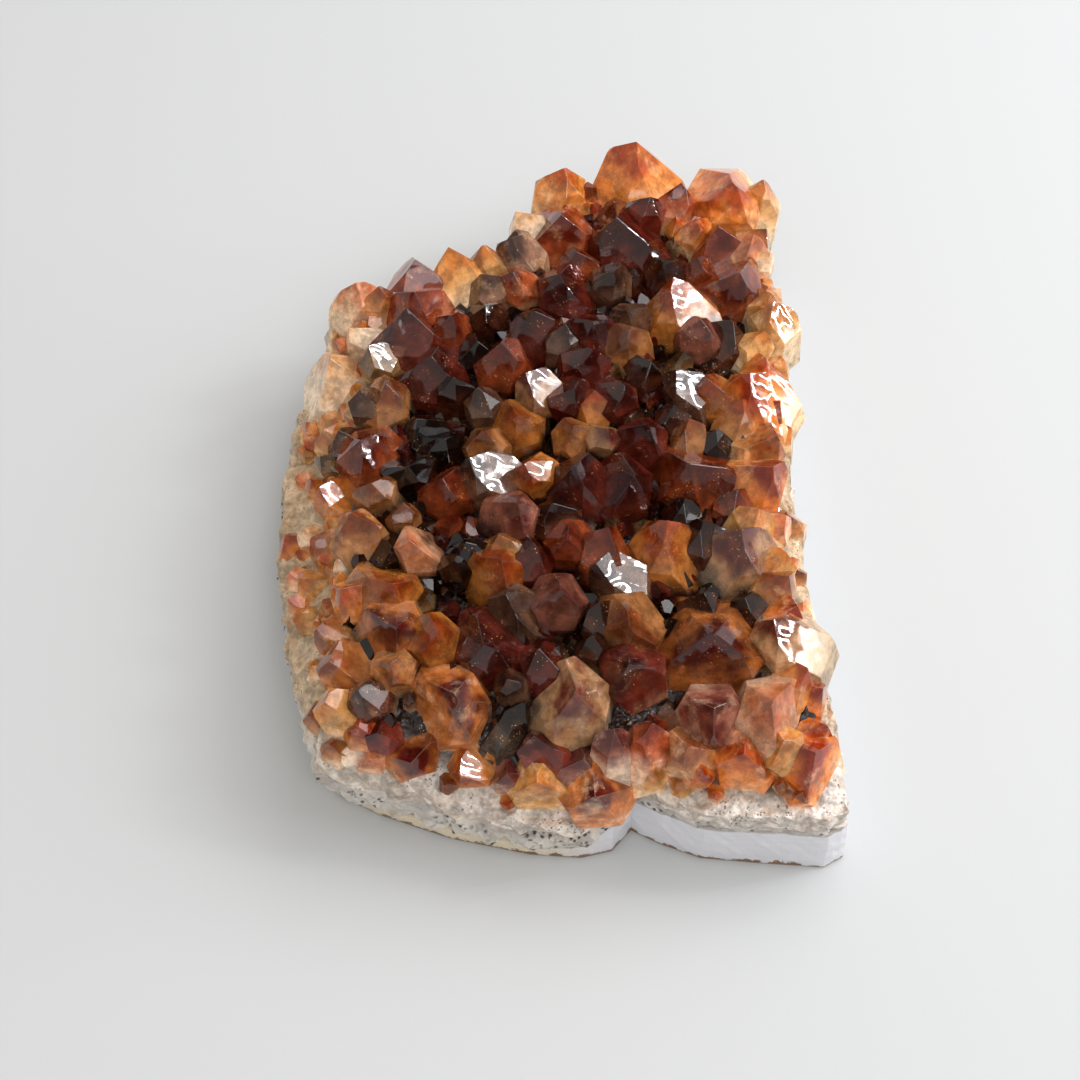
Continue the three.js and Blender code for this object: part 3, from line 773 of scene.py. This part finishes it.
@dataclass
class SmallCrystals:
    """The small crystals between the points: where they may stand and how they lean."""

    gap: float = 2.5
    field_start: Pair = (-50, -68)
    field_size: Pair = (100, 140)
    across: Pair = (1.8, 4.4)
    rise: Pair = (1.2, 4.6)
    widest_lean: float = 34
    lean_power: float = 1.5
    rim_gap: float = 1.0
    right_gap: float = 2.6
    right_side: float = 30
    left_side: float = -30
    flank_reach: float = 2.0
    flank_width: float = 6.0
    flank_lean: float = 18.0
    left_flank: Pair = (-34, 24)
    left_flank_compass: Pair = (150, 0.18)
    front_flank: float = -50
    front_flank_compass: Pair = (235, 0.15)
    pale_corner: Pair = (-32, 20)
    pale_front: float = -57
    rim_width: float = 6
    foot_share: float = 0.2
    seed: int = 11

    def tint(self, x: float, y: float, rng: random.Random) -> Tint:
        """Picks a small crystal's tint: cloudy at the rims, dark in the middle, partly their own colour and
        partly painted shade of the crevices.

        Args:
            x: How far right it stands, in millimetres.
            y: How far back it stands.
            rng: The seeded numbers, of which it takes one.

        Returns:
            The tint.
        """
        by_rim = rim_distance(x, y) < self.rim_width
        if (x < self.pale_corner[0] and y < self.pale_corner[1]) or (y < self.pale_front and by_rim):
            return rng.choice((MILKY, HONEY, HONEY, PEACH, TAN, AMBER))
        if by_rim:
            return rng.choice((HONEY, AMBER, TAN, AMBER, PEACH, ORANGE, HONEY))
        # Dark tints in the middle: partly the crystals' own colour, partly painted shade of the crevices
        return rng.choice((BLACK, BROWN, GARNET, BROWN, SMOKY, RUST, OLIVE, BLACK))

    def taken(self, points: list[Point], x: float, y: float, across: float) -> bool:
        """Says whether a large point already fills a place, at its tip or halfway down its axis.

        Args:
            points: The large points.
            x: How far right the place is, in millimetres.
            y: How far back it is.
            across: Width of the small crystal that would stand there.

        Returns:
            True when it does.
        """
        for point in points:
            back = 0.5 * point.rise * math.tan(math.radians(point.lean))
            turn = math.radians(point.towards)
            for step in (0.0, back):
                gap = math.hypot(point.x - step * math.cos(turn) - x, point.y - step * math.sin(turn) - y)
                if gap < 0.5 * point.across - self.foot_share * across:
                    return True
        return False

    def off_the_bed(self, x: float, y: float) -> bool:
        """Says whether a place is too near the rim inside the outline, or too far out of it.

        Args:
            x: How far right the place is, in millimetres.
            y: How far back it is.

        Returns:
            True when nothing may stand there.
        """
        rim = rim_distance(x, y)
        if inside_outline(x, y):
            return rim < (self.right_gap if x > self.right_side else self.rim_gap)
        return x > self.left_side or rim > self.flank_reach

    def scatter(self, points: list[Point]) -> list[Point]:
        """Fills the bed between the large points.

        Args:
            points: The large points.

        Returns:
            The small ones, row by row from the front.
        """
        rng = random.Random(self.seed)
        found = []
        for row in range(round(self.field_size[1] / self.gap)):
            for column in range(round(self.field_size[0] / self.gap)):
                x = self.field_start[0] + (column + rng.random()) * self.gap
                y = self.field_start[1] + (row + rng.random()) * self.gap
                across, rise = rng.uniform(*self.across), rng.uniform(*self.rise)
                lean = self.widest_lean * rng.random() ** self.lean_power
                towards = rng.uniform(0, 360)
                if self.off_the_bed(x, y) or self.taken(points, x, y, across):
                    continue
                by_rim = rim_distance(x, y) < self.flank_width
                if x < self.left_flank[0] and y < self.left_flank[1] and by_rim:
                    start, share = self.left_flank_compass
                    lean, towards = lean + self.flank_lean, start + share * towards
                elif y < self.front_flank and by_rim:
                    start, share = self.front_flank_compass
                    lean, towards = lean + self.flank_lean, start + share * towards
                found.append(Point(x, y, rise, across, lean, towards, self.tint(x, y, rng)))
        return found


@dataclass
class CrystalCrust:
    """The crust of points grown together, with the small crystals between them."""

    slab: Slab
    shape: PointShape = field(default_factory=PointShape)
    dress: PointDress = field(default_factory=PointDress)
    small: SmallCrystals = field(default_factory=SmallCrystals)
    root_depth: float = 6.0
    fullness: float = 1.06
    least_reach: float = 2.0
    dark_root_span: Pair = (6, 15)
    darkest: float = 0.84
    lightness_range: float = 0.32
    dark_bed_span: Pair = (2.5, 6.5)
    left_extra: Pair = (2.5, 4.5)
    left_span: Pair = (-24, -34)
    wall: Wall = Wall(cell=1.6, grain=0.5, grain_size=2.2)
    top_cell: float = 1.5
    top_bumps: float = 0.9
    bare_reach: float = -0.01
    bare_lightness: float = 0.9
    workshop: bpy.types.Collection = field(init=False)

    def __post_init__(self) -> None:
        """Opens a collection for the working solids."""
        self.workshop = bpy.data.collections.new("points_workshop")
        bpy.context.scene.collection.children.link(self.workshop)

    def points(self) -> list[Point]:
        """Lists the points in the order of the given lists."""
        rows = BACK_POINTS + LEFT_POINTS + MIDDLE_POINTS + RIGHT_POINTS + FRONT_POINTS + SPARE_POINTS
        return [Point(*row) for row in rows]

    def paint_middle_shade(self, crust: bpy.types.Object) -> None:
        """Lets the root crust go from pale rims, wider at the left, to a dark brown middle: painted shade
        between the points over the crust's own dark colour.

        Args:
            crust: The root crust, with its colours written.
        """
        mesh = crust.data
        shares = []
        for vert in mesh.vertices:
            x, y = vert.co.x / MM, vert.co.y / MM
            left = ease(*self.left_span, x)
            near, far = (d + extra * left for d, extra in zip(self.dark_bed_span, self.left_extra))
            shares.append(ease(near, far, rim_distance(x, y)))
        pales = [bed_colour(vert.co.y / MM) for vert in mesh.vertices]
        for corner, loop in zip(mesh.attributes["root_tint"].data, mesh.loops):
            share = shares[loop.vertex_index]
            corner.color = (*mixed(pales[loop.vertex_index], SHADED_ROOT, share), 1.0)

    def place_point(self, name: str, point: Point, index: int, worn: bool) -> None:
        """Builds one point, colours it and stands it in the bed.

        Args:
            name: The working solid's name.
            point: The point.
            index: Its number.
            worn: Whether its edges are bevelled.
        """
        radius = point.across / 2 * HEX_CORNER * self.fullness
        slant = math.radians(point.lean)
        length = (point.rise + self.root_depth) / math.cos(slant)
        piece = mesh_object(name, self.shape.build(radius, length, index, worn), self.workshop)
        reach = max(point.rise / math.cos(slant), self.least_reach * radius) * MM
        inner = ease(*self.dark_root_span, rim_distance(point.x, point.y))
        lightness = self.darkest + self.lightness_range * chance(index, Trait.LIGHTNESS)
        self.dress.write(piece.data, SHADES[point.tint], reach, lightness, inner, bed_colour(point.y))
        compass = math.radians(point.towards)
        hinge = Vector((-math.sin(compass), math.cos(compass), 0))
        tip = Vector((point.x, point.y, self.slab.bed_top(point.x, point.y) + point.rise)) * MM
        stand = Matrix.Translation(tip) @ Matrix.Rotation(slant, 4, hinge)
        piece.data.transform(stand @ Matrix.Rotation(self.shape.turn(index), 4, "Z"))

    def root_crust(self, home: bpy.types.Collection) -> bpy.types.Object:
        """Builds the crust that joins the points: the slab under its own low, bumpy dome.

        Args:
            home: The collection for the working solids.

        Returns:
            The crust, with its foot not yet cut.
        """
        slab = self.slab
        crust = slab.block(home, self.wall)
        top = slab.under(home, slab.bed_top, self.top_cell, self.top_bumps)
        combine(crust, Join.KEEP, top)
        discard([top])
        return crust

    def cut_foot(self, home: bpy.types.Collection, crust: bpy.types.Object) -> None:
        """Cuts off all that is under the crust's foot.

        Args:
            home: The collection for the working solid.
            crust: The solid to cut.
        """
        foot = self.slab.under(home, self.slab.crust_foot, self.slab.crust_foot_cell)
        combine(crust, Join.CUT, foot)
        discard([foot])

    def build(self, home: bpy.types.Collection) -> bpy.types.Object:
        """Builds the whole crust in one closed solid.

        Args:
            home: The scene's own collection.

        Returns:
            The crust, with its colours on its corners.
        """
        crust = self.root_crust(home)
        self.cut_foot(home, crust)
        crust.name = "citrine_points"
        self.dress.write(crust.data, SHADES[MILKY], self.bare_reach, self.bare_lightness, 0.0, BED_FRONT)
        self.paint_middle_shade(crust)
        crust.data.attributes.new("wear_and_sheen", "FLOAT", "FACE")
        points = self.points()
        for index, point in enumerate(points):
            self.place_point(f"point_{index}", point, index, True)
        small = self.small.scatter(points)
        for index, point in enumerate(small):
            self.place_point(f"small_{index}", point, FIRST_SMALL + index, False)
        combine(crust, Join.UNION, self.workshop)
        self.cut_foot(home, crust)
        discard(list(self.workshop.objects))
        LOG.info("%s: %d large points and %d small ones", crust.name, len(points), len(small))
        return crust


@dataclass(frozen=True)
class Grain:
    """A noise pattern: how many waves a metre holds, how many layers it has, how strong they are."""

    scale: float
    layers: float
    rough: float


@dataclass(frozen=True)
class Ramp:
    """A smooth change between two limits of what drives it, from one value to another."""

    low: float
    high: float
    to_low: float = 0.0
    to_high: float = 1.0


class Wiring:
    """Short names for laying out a material's nodes."""

    def __init__(self, name: str) -> None:
        """Starts an empty material with its output.

        Args:
            name: The material's name.
        """
        self.material = bpy.data.materials.new(name)
        self.material.use_nodes = True
        self.tree = self.material.node_tree
        self.tree.nodes.clear()
        self.output = self.tree.nodes.new("ShaderNodeOutputMaterial")
        self.place = self.tree.nodes.new("ShaderNodeTexCoord").outputs["Object"]

    def feed(self, socket: Socket, value: Value) -> None:
        """Links an output to a socket, or sets a number or a colour on it.

        Args:
            socket: The input.
            value: What goes into it.
        """
        if isinstance(value, bpy.types.NodeSocket):
            self.tree.links.new(value, socket)
        elif socket.type == "RGBA" and len(value) == 3:
            socket.default_value = (*value, 1.0)
        else:
            socket.default_value = value

    def node(self, kind: str, links: dict[str, Value] | None = None, **settings: object) -> bpy.types.Node:
        """Adds a node.

        Args:
            kind: The node's type name.
            links: Socket names, each with an output to link or a value to set.
            settings: The node's own properties.

        Returns:
            The node.
        """
        made = self.tree.nodes.new(kind)
        for key, value in settings.items():
            setattr(made, key, value)
        for key, value in (links or {}).items():
            self.feed(made.inputs[key], value)
        return made

    def attribute(self, name: str, output: str) -> Socket:
        """Reads one of the mesh's own attributes."""
        return self.node("ShaderNodeAttribute", attribute_name=name).outputs[output]

    def grain(self, grain: Grain) -> Socket:
        """Gives noise from 0 to 1."""
        links = {"Vector": self.place, "Scale": grain.scale, "Detail": grain.layers, "Roughness": grain.rough}
        return self.node("ShaderNodeTexNoise", links).outputs["Fac"]

    def cells(self, scale: float) -> dict[str, Socket]:
        """Gives the distance to the nearest grain and each grain's own colour, for grains per metre."""
        links = {"Vector": self.place, "Scale": scale, "Randomness": 1.0}
        return self.node("ShaderNodeTexVoronoi", links).outputs

    def span(self, value: Socket, ramp: Ramp) -> Socket:
        """Turns a value into another one along a ramp.

        Args:
            value: The value.
            ramp: Its limits and what they become.

        Returns:
            The new value.
        """
        links = {
            "Value": value,
            "From Min": ramp.low,
            "From Max": ramp.high,
            "To Min": ramp.to_low,
            "To Max": ramp.to_high,
        }
        return self.node("ShaderNodeMapRange", links, interpolation_type="SMOOTHSTEP").outputs["Result"]

    def maths(self, operation: str, *values: Value) -> Socket:
        """Works one sum on outputs or numbers.

        Args:
            operation: The sum's name.
            values: What it works on, in order.

        Returns:
            The answer.
        """
        made = self.node("ShaderNodeMath", operation=operation)
        for socket, value in zip(made.inputs, values):
            self.feed(socket, value)
        return made.outputs[0]

    def times(self, first: Value, second: Value) -> Socket:
        """Multiplies two outputs or numbers."""
        return self.maths("MULTIPLY", first, second)

    def plus(self, first: Value, second: Value) -> Socket:
        """Adds two outputs or numbers."""
        return self.maths("ADD", first, second)

    def rest(self, value: Value) -> Socket:
        """Gives what is left of 1."""
        return self.maths("SUBTRACT", 1.0, value)

    def blend(self, part: Value, first: Value, second: Value, mode: str = "MIX") -> Socket:
        """Mixes two colours.

        Args:
            part: How much of the second one, from 0 to 1.
            first: The first colour.
            second: The second colour.
            mode: How the second one lies over the first.

        Returns:
            The mixed colour.
        """
        made = self.node("ShaderNodeMix", data_type="RGBA", blend_type=mode)
        for name, kind, value in (("Factor", "VALUE", part), ("A", "RGBA", first), ("B", "RGBA", second)):
            self.feed(next(s for s in made.inputs if s.name == name and s.type == kind), value)
        return next(s for s in made.outputs if s.type == "RGBA")

    def bump(self, height: Socket, strength: Value, distance: float, below: Socket | None = None) -> Socket:
        """Turns a height into a normal.

        Args:
            height: The height.
            strength: How much of it shows, from 0 to 1.
            distance: How high 1 is, in metres.
            below: The normal that it lies on.

        Returns:
            The normal.
        """
        links = {"Height": height, "Strength": strength, "Distance": distance}
        if below is not None:
            links["Normal"] = below
        return self.node("ShaderNodeBump", links).outputs["Normal"]

    def surface(self, links: dict[str, Value]) -> None:
        """Adds the surface shader and links it to the output."""
        shader = self.node("ShaderNodeBsdfPrincipled", links)
        self.tree.links.new(shader.outputs["BSDF"], self.output.inputs["Surface"])


@dataclass(frozen=True)
class CitrineFinish:
    """Clear quartz whose colour gathers at the tips and clouds over towards the root."""

    ior: float = 1.544
    tint: Colour = (0.96, 0.72, 0.46)
    density: float = 32.0
    warmth: Colour = (1.12, 1.01, 0.88)
    speck: Colour = srgb(70, 60, 54)
    stain: Colour = (0.62, 0.56, 0.50)
    # Colour of the inclusions' gold flecks, painted bright as glints
    gold: Colour = (0.98, 0.62, 0.26)
    veil: Grain = Grain(260, 3, 0.6)
    mist: Grain = Grain(420, 3, 0.75)
    blotch: Grain = Grain(165, 3, 0.7)
    drift: Grain = Grain(190, 2, 0.6)
    crumb: Grain = Grain(760, 1, 0.5)
    wave: Grain = Grain(200, 1, 0.5)
    dots_per_metre: float = 1700.0
    drift_reach: Ramp = Ramp(0.3, 0.7, -0.14, 0.14)
    core_end: Ramp = Ramp(0.10, 0.48)
    root_start: Ramp = Ramp(0.0, 0.55)
    crust_start: Ramp = Ramp(0.55, 0.9)
    veil_edge: Ramp = Ramp(0.52, 0.68)
    veil_share: float = 0.35
    glint_dot: Ramp = Ramp(0.22, 0.09)
    glint_places: Ramp = Ramp(0.50, 0.64)
    glint_share: float = 0.9
    mottling: Ramp = Ramp(0.34, 0.66, 0.66, 1.30)
    warmth_lost: float = 0.8
    stain_places: Ramp = Ramp(0.42, 0.6)
    stain_share: float = 0.8
    speck_dot: Ramp = Ramp(0.38, 0.22)
    speck_places: Ramp = Ramp(0.47, 0.41)
    speck_share: float = 0.8
    # How pale the edges go: partly wear, partly a painted edge highlight
    wear_and_sheen_share: float = 0.12
    clear_end: Ramp = Ramp(0.0, 0.5, 1.0, 0.0)
    veil_cloud: float = 0.5
    gloss: Ramp = Ramp(0.4, 0.75, 0.03, 0.14)
    root_gloss: Ramp = Ramp(0.0, 0.6, 0.0, 0.25)
    crumb_strength: float = 0.7
    crumb_height: float = 0.0009
    wave_strength: float = 0.28
    wave_height: float = 0.0012

    def material(self) -> bpy.types.Material:
        """Builds the finish's nodes.

        Returns:
            The material.
        """
        w = Wiring("citrine")
        veil, mist, blotch = w.grain(self.veil), w.grain(self.mist), w.grain(self.blotch)
        dots = w.cells(self.dots_per_metre)["Distance"]
        root_tint = w.attribute("root_tint", "Color")
        wander = w.plus(w.attribute("depth", "Fac"), w.span(w.grain(self.drift), self.drift_reach))
        rooted = w.maths("SUBTRACT", wander, w.rest(w.attribute("cloud", "Fac")))
        crusty = w.span(rooted, self.crust_start)
        flecks = w.span(veil, self.veil_edge)
        # From the dark core out to the root, cloudy at the rims and painted shade in the middle, with veils
        # and gold flecks painted bright as glints over it
        core, body = w.attribute("core_tint", "Color"), w.attribute("body_tint", "Color")
        colour = w.blend(w.span(wander, self.core_end), core, body)
        colour = w.blend(w.span(rooted, self.root_start), colour, root_tint)
        colour = w.blend(w.times(flecks, self.veil_share), colour, root_tint)
        # Gold flecks of the inclusions, painted bright as glints
        gold_glints = w.times(w.span(dots, self.glint_dot), w.span(veil, self.glint_places))
        colour = w.blend(w.times(gold_glints, self.glint_share), colour, self.gold)
        mottled = w.span(mist, self.mottling)
        product = w.node("ShaderNodeVectorMath", operation="MULTIPLY")
        w.feed(product.inputs[0], colour)
        w.feed(product.inputs[1], mottled)
        warmed = w.rest(w.times(crusty, self.warmth_lost))
        colour = w.blend(warmed, product.outputs[0], self.warmth, "MULTIPLY")
        # Stains and dark specks on the bare crust, and pale edges: partly worn chips, partly a painted edge
        # highlight
        patches = w.times(crusty, w.span(blotch, self.stain_places))
        colour = w.blend(w.times(patches, self.stain_share), colour, self.stain, "MULTIPLY")
        specks = w.times(w.span(dots, self.speck_dot), w.span(blotch, self.speck_places))
        colour = w.blend(w.times(specks, w.times(crusty, self.speck_share)), colour, self.speck)
        colour = w.blend(w.times(w.attribute("wear_and_sheen", "Fac"), self.wear_and_sheen_share), colour, root_tint)
        clear = w.times(w.attribute("clear", "Fac"), w.span(rooted, self.clear_end))
        clear = w.times(clear, w.rest(w.times(flecks, self.veil_cloud)))
        rough = w.plus(w.span(mist, self.gloss), w.span(rooted, self.root_gloss))
        crumbs = w.bump(w.grain(self.crumb), w.times(crusty, self.crumb_strength), self.crumb_height)
        waves = w.bump(w.grain(self.wave), self.wave_strength, self.wave_height, crumbs)
        w.surface(
            {
                "Base Color": colour,
                "Roughness": rough,
                "IOR": self.ior,
                "Transmission Weight": clear,
                "Normal": waves,
            }
        )
        soak = w.node("ShaderNodeVolumeAbsorption", {"Color": self.tint, "Density": self.density})
        w.tree.links.new(soak.outputs["Volume"], w.output.inputs["Volume"])
        return w.material


@dataclass(frozen=True)
class GranularFinish:
    """Grey and beige granular quartz with dark specks and sparkling grains."""

    ior: float = 1.544
    pale: Colour = srgb(216, 210, 202)
    grey: Colour = srgb(176, 170, 164)
    warm: Colour = srgb(206, 182, 148)
    speck: Colour = srgb(66, 62, 60)
    cloud: Grain = Grain(190, 4, 0.65)
    cloud_edge: Ramp = Ramp(0.35, 0.65)
    warm_cloud: Grain = Grain(70, 3, 0.6)
    warm_edge: Ramp = Ramp(0.5, 0.8)
    flakes_per_metre: float = 900.0
    flake_dot: Ramp = Ramp(0.45, 0.2)
    flake_field: Grain = Grain(160, 3, 0.7)
    flake_places: Ramp = Ramp(0.46, 0.56)
    grains_per_metre: float = 620.0
    gloss: Ramp = Ramp(0.0, 1.0, 0.16, 0.7)
    facet_strength: float = 0.55
    facet_height: float = 0.0007
    lump: Grain = Grain(380, 4, 0.7)
    lump_strength: float = 0.35
    lump_height: float = 0.0010

    def material(self) -> bpy.types.Material:
        """Builds the finish's nodes.

        Returns:
            The material.
        """
        w = Wiring("granular_quartz")
        colour = w.blend(w.span(w.grain(self.cloud), self.cloud_edge), self.pale, self.grey)
        colour = w.blend(w.span(w.grain(self.warm_cloud), self.warm_edge), colour, self.warm)
        dots = w.span(w.cells(self.flakes_per_metre)["Distance"], self.flake_dot)
        flakes = w.times(dots, w.span(w.grain(self.flake_field), self.flake_places))
        colour = w.blend(flakes, colour, self.speck)
        grains = w.cells(self.grains_per_metre)
        shine = w.node("ShaderNodeSeparateColor", {"Color": grains["Color"]}).outputs["Red"]
        facets = w.bump(grains["Distance"], self.facet_strength, self.facet_height)
        lumps = w.bump(w.grain(self.lump), self.lump_strength, self.lump_height, facets)
        w.surface(
            {"Base Color": colour, "Roughness": w.span(shine, self.gloss), "IOR": self.ior, "Normal": lumps}
        )
        return w.material


@dataclass(frozen=True)
class AgateFinish:
    """Waxy white agate with faint bands and a ragged brown skin along its foot."""

    ior: float = 1.54
    milk: Colour = srgb(220, 219, 223)
    blue: Colour = srgb(206, 209, 220)
    # Warm cream of the shaded left side: painted shade
    cream: Colour = srgb(222, 208, 182)
    skin: Colour = srgb(122, 92, 62)
    sway: Grain = Grain(60, 3, 0.6)
    sway_reach: Ramp = Ramp(0.2, 0.8, -0.0012, 0.0012)
    bands_per_metre: float = 900.0
    band_layers: float = 3.0
    band_edge: Ramp = Ramp(0.35, 0.65)
    band_share: float = 0.4
    left_shade_span: Ramp = Ramp(0.010, -0.006)
    top_fray: Grain = Grain(300, 3, 0.6)
    top_fray_reach: Ramp = Ramp(0.2, 0.8, -0.0003, 0.0003)
    top_line: Ramp = Ramp(0.0095, 0.0101)
    top_line_share: float = 0.6
    skin_fray: Grain = Grain(420, 4, 0.75)
    skin_fray_reach: Ramp = Ramp(0.3, 0.8, -0.0002, 0.0016)
    skin_line: Ramp = Ramp(0.0004, -0.0001)
    wax: Grain = Grain(240, 3, 0.6)
    gloss: Ramp = Ramp(0.3, 0.8, 0.28, 0.5)
    wave: Grain = Grain(160, 3, 0.5)
    wave_strength: float = 0.12
    wave_height: float = 0.001
    glow: float = 0.35
    glow_reach: Colour = (0.004, 0.0035, 0.004)
    glow_scale: float = 0.6

    def material(self) -> bpy.types.Material:
        """Builds the finish's nodes.

        Returns:
            The material.
        """
        w = Wiring("agate")
        place = w.node("ShaderNodeSeparateXYZ", {"Vector": w.place}).outputs
        across, height = place["X"], place["Z"]
        sway = w.plus(height, w.span(w.grain(self.sway), self.sway_reach))
        stripes = {"W": w.times(sway, self.bands_per_metre), "Scale": 1.0, "Detail": self.band_layers}
        band = w.node("ShaderNodeTexNoise", stripes, noise_dimensions="1D").outputs["Fac"]
        colour = w.blend(w.times(w.span(band, self.band_edge), self.band_share), self.milk, self.blue)
        # The left side goes warm cream: painted shade
        colour = w.blend(w.span(across, self.left_shade_span), colour, self.cream)
        topmost = w.plus(height, w.span(w.grain(self.top_fray), self.top_fray_reach))
        colour = w.blend(w.times(w.span(topmost, self.top_line), self.top_line_share), colour, self.skin)
        ragged = w.maths("SUBTRACT", height, w.span(w.grain(self.skin_fray), self.skin_fray_reach))
        colour = w.blend(w.span(ragged, self.skin_line), colour, self.skin)
        w.surface(
            {
                "Base Color": colour,
                "Roughness": w.span(w.grain(self.wax), self.gloss),
                "IOR": self.ior,
                "Normal": w.bump(w.grain(self.wave), self.wave_strength, self.wave_height),
                "Subsurface Weight": self.glow,
                "Subsurface Radius": self.glow_reach,
                "Subsurface Scale": self.glow_scale,
            }
        )
        return w.material


@dataclass
class QuartzBed:
    """The granular quartz between the agate rind and the crust."""

    slab: Slab
    wall: Wall = Wall(cell=1.1, grain=0.85, grain_size=1.3)
    rind_cell: float = 2.0

    def build(self, home: bpy.types.Collection) -> bpy.types.Object:
        """Builds the bed as the slab between the rind's top and the crust's foot.

        Args:
            home: The scene's own collection.

        Returns:
            The bed.
        """
        slab = self.slab
        bed = slab.block(home, self.wall)
        lid = slab.under(home, slab.crust_foot, slab.crust_foot_cell)
        foot = slab.under(home, slab.agate_top, self.rind_cell)
        combine(bed, Join.KEEP, lid)
        combine(bed, Join.CUT, foot)
        discard([lid, foot])
        bed.name = "quartz_wall"
        return bed


@dataclass
class AgateRind:
    """The waxy rind that the slab lies on."""

    slab: Slab
    wall: Wall = Wall(cell=1.5, grain=0.22, grain_size=7.0, lumps=0.25)
    top_cell: float = 2.0

    def build(self, home: bpy.types.Collection) -> bpy.types.Object:
        """Builds the rind as the slab's lowest layer.

        Args:
            home: The scene's own collection.

        Returns:
            The rind.
        """
        slab = self.slab
        rind = slab.block(home, self.wall)
        lid = slab.under(home, slab.agate_top, self.top_cell)
        combine(rind, Join.KEEP, lid)
        discard([lid])
        rind.name = "agate_rind"
        return rind


@dataclass(frozen=True)
class Lamp:
    """One soft area lamp: where it hangs, its width and height, its power in watts and its colour."""

    name: str
    place: tuple[float, float, float]
    size: Pair
    power: float
    colour: Colour = (0.97, 0.98, 1.0)

    def hang(self, aim: tuple[float, float, float]) -> None:
        """Hangs the lamp so that it faces a place.

        Args:
            aim: The place.
        """
        light = bpy.data.lights.new(self.name, "AREA")
        light.shape = "RECTANGLE"
        light.size, light.size_y = self.size
        light.energy = self.power
        light.color = self.colour
        lamp = bpy.data.objects.new(self.name, light)
        lamp.location = self.place
        lamp.rotation_euler = (Vector(aim) - Vector(self.place)).to_track_quat("-Z", "Y").to_euler()
        bpy.context.scene.collection.objects.link(lamp)


@dataclass
class Studio:
    """The pale floor, the soft lights and the camera."""

    floor_size: float = 6.0
    floor_drop: float = 0.0002
    floor_colour: Colour = (0.553, 0.566, 0.572)
    floor_roughness: float = 0.7
    aim: tuple[float, float, float] = (0.0, 0.0, 0.02)
    room_colour: Colour = (0.94, 0.91, 0.86)
    room_strength: float = 0.70
    camera_place: tuple[float, float, float] = (-0.002, -0.2054, 0.2882)
    camera_tilt: float = 35.0
    lens: float = 67.18
    lamps: tuple[Lamp, ...] = (
        Lamp("pane_0", (0.58, 0.148, 0.55), (0.014, 0.12), 0.45),
        Lamp("pane_1", (0.62, 0.092, 0.51), (0.014, 0.12), 0.45),
        Lamp("low_pane_0", (0.80, 0.05, 0.16), (0.014, 0.10), 0.35),
        Lamp("low_pane_1", (0.80, 0.11, 0.16), (0.014, 0.10), 0.35),
        Lamp("window_glow", (0.60, 0.12, 0.50), (0.62, 0.46), 3.5),
        Lamp("sky", (0.34, 0.52, 0.72), (0.7, 0.5), 2.7, (0.97, 0.95, 1.0)),
        Lamp("front_sky", (0.10, -0.55, 0.75), (0.5, 0.3), 1.6, (0.97, 0.97, 1.0)),
    )

    def floor(self) -> None:
        """Lays a plain pale floor under the slab."""
        shape = bmesh.new()
        bmesh.ops.create_grid(shape, x_segments=1, y_segments=1, size=self.floor_size / 2)
        ground = mesh_object("floor", shape, bpy.context.scene.collection)
        ground.location.z = -self.floor_drop
        w = Wiring("pale_floor")
        w.surface({"Base Color": self.floor_colour, "Roughness": self.floor_roughness})
        ground.data.materials.append(w.material)

    def lights(self) -> None:
        """Hangs the window light and the fills, and dims the surroundings."""
        for lamp in self.lamps:
            lamp.hang(self.aim)
        world = bpy.data.worlds.new("room")
        bpy.context.scene.world = world
        world.use_nodes = True
        back = world.node_tree.nodes["Background"]
        back.inputs["Color"].default_value = (*self.room_colour, 1.0)
        back.inputs["Strength"].default_value = self.room_strength

    def camera(self) -> None:
        """Stands the camera at the picture's angle."""
        data = bpy.data.cameras.new("camera")
        data.lens = self.lens
        data.clip_start = 0.01
        eye = bpy.data.objects.new("camera", data)
        eye.location = self.camera_place
        eye.rotation_euler = (math.radians(self.camera_tilt), 0, 0)
        bpy.context.scene.collection.objects.link(eye)
        bpy.context.scene.camera = eye

    def build(self) -> None:
        """Sets up the whole studio."""
        self.floor()
        self.lights()
        self.camera()
        bpy.context.scene.view_settings.view_transform = "Standard"


def settle(piece: bpy.types.Object, node: str, material: bpy.types.Material) -> None:
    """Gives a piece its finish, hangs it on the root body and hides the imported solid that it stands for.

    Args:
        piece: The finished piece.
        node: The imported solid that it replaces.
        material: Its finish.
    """
    piece.data.materials.clear()
    piece.data.materials.append(material)
    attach(piece, "root")
    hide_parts(node)
    triangles = sum(len(face.vertices) - 2 for face in piece.data.polygons)
    LOG.info("%s: %d triangles, stands for %s", piece.name, triangles, node)


def main() -> None:
    """Builds the layers from the foot up, then the studio."""
    logging.basicConfig(level=logging.INFO, format="%(message)s")
    home = bpy.context.scene.collection
    slab = Slab()
    settle(AgateRind(slab).build(home), "agate_base", AgateFinish().material())
    settle(QuartzBed(slab).build(home), "quartz_bed", GranularFinish().material())
    settle(CrystalCrust(slab).build(home), "citrine_crystals", CitrineFinish().material())
    Studio().build()
    import json


if __name__ == "__main__":
    main()
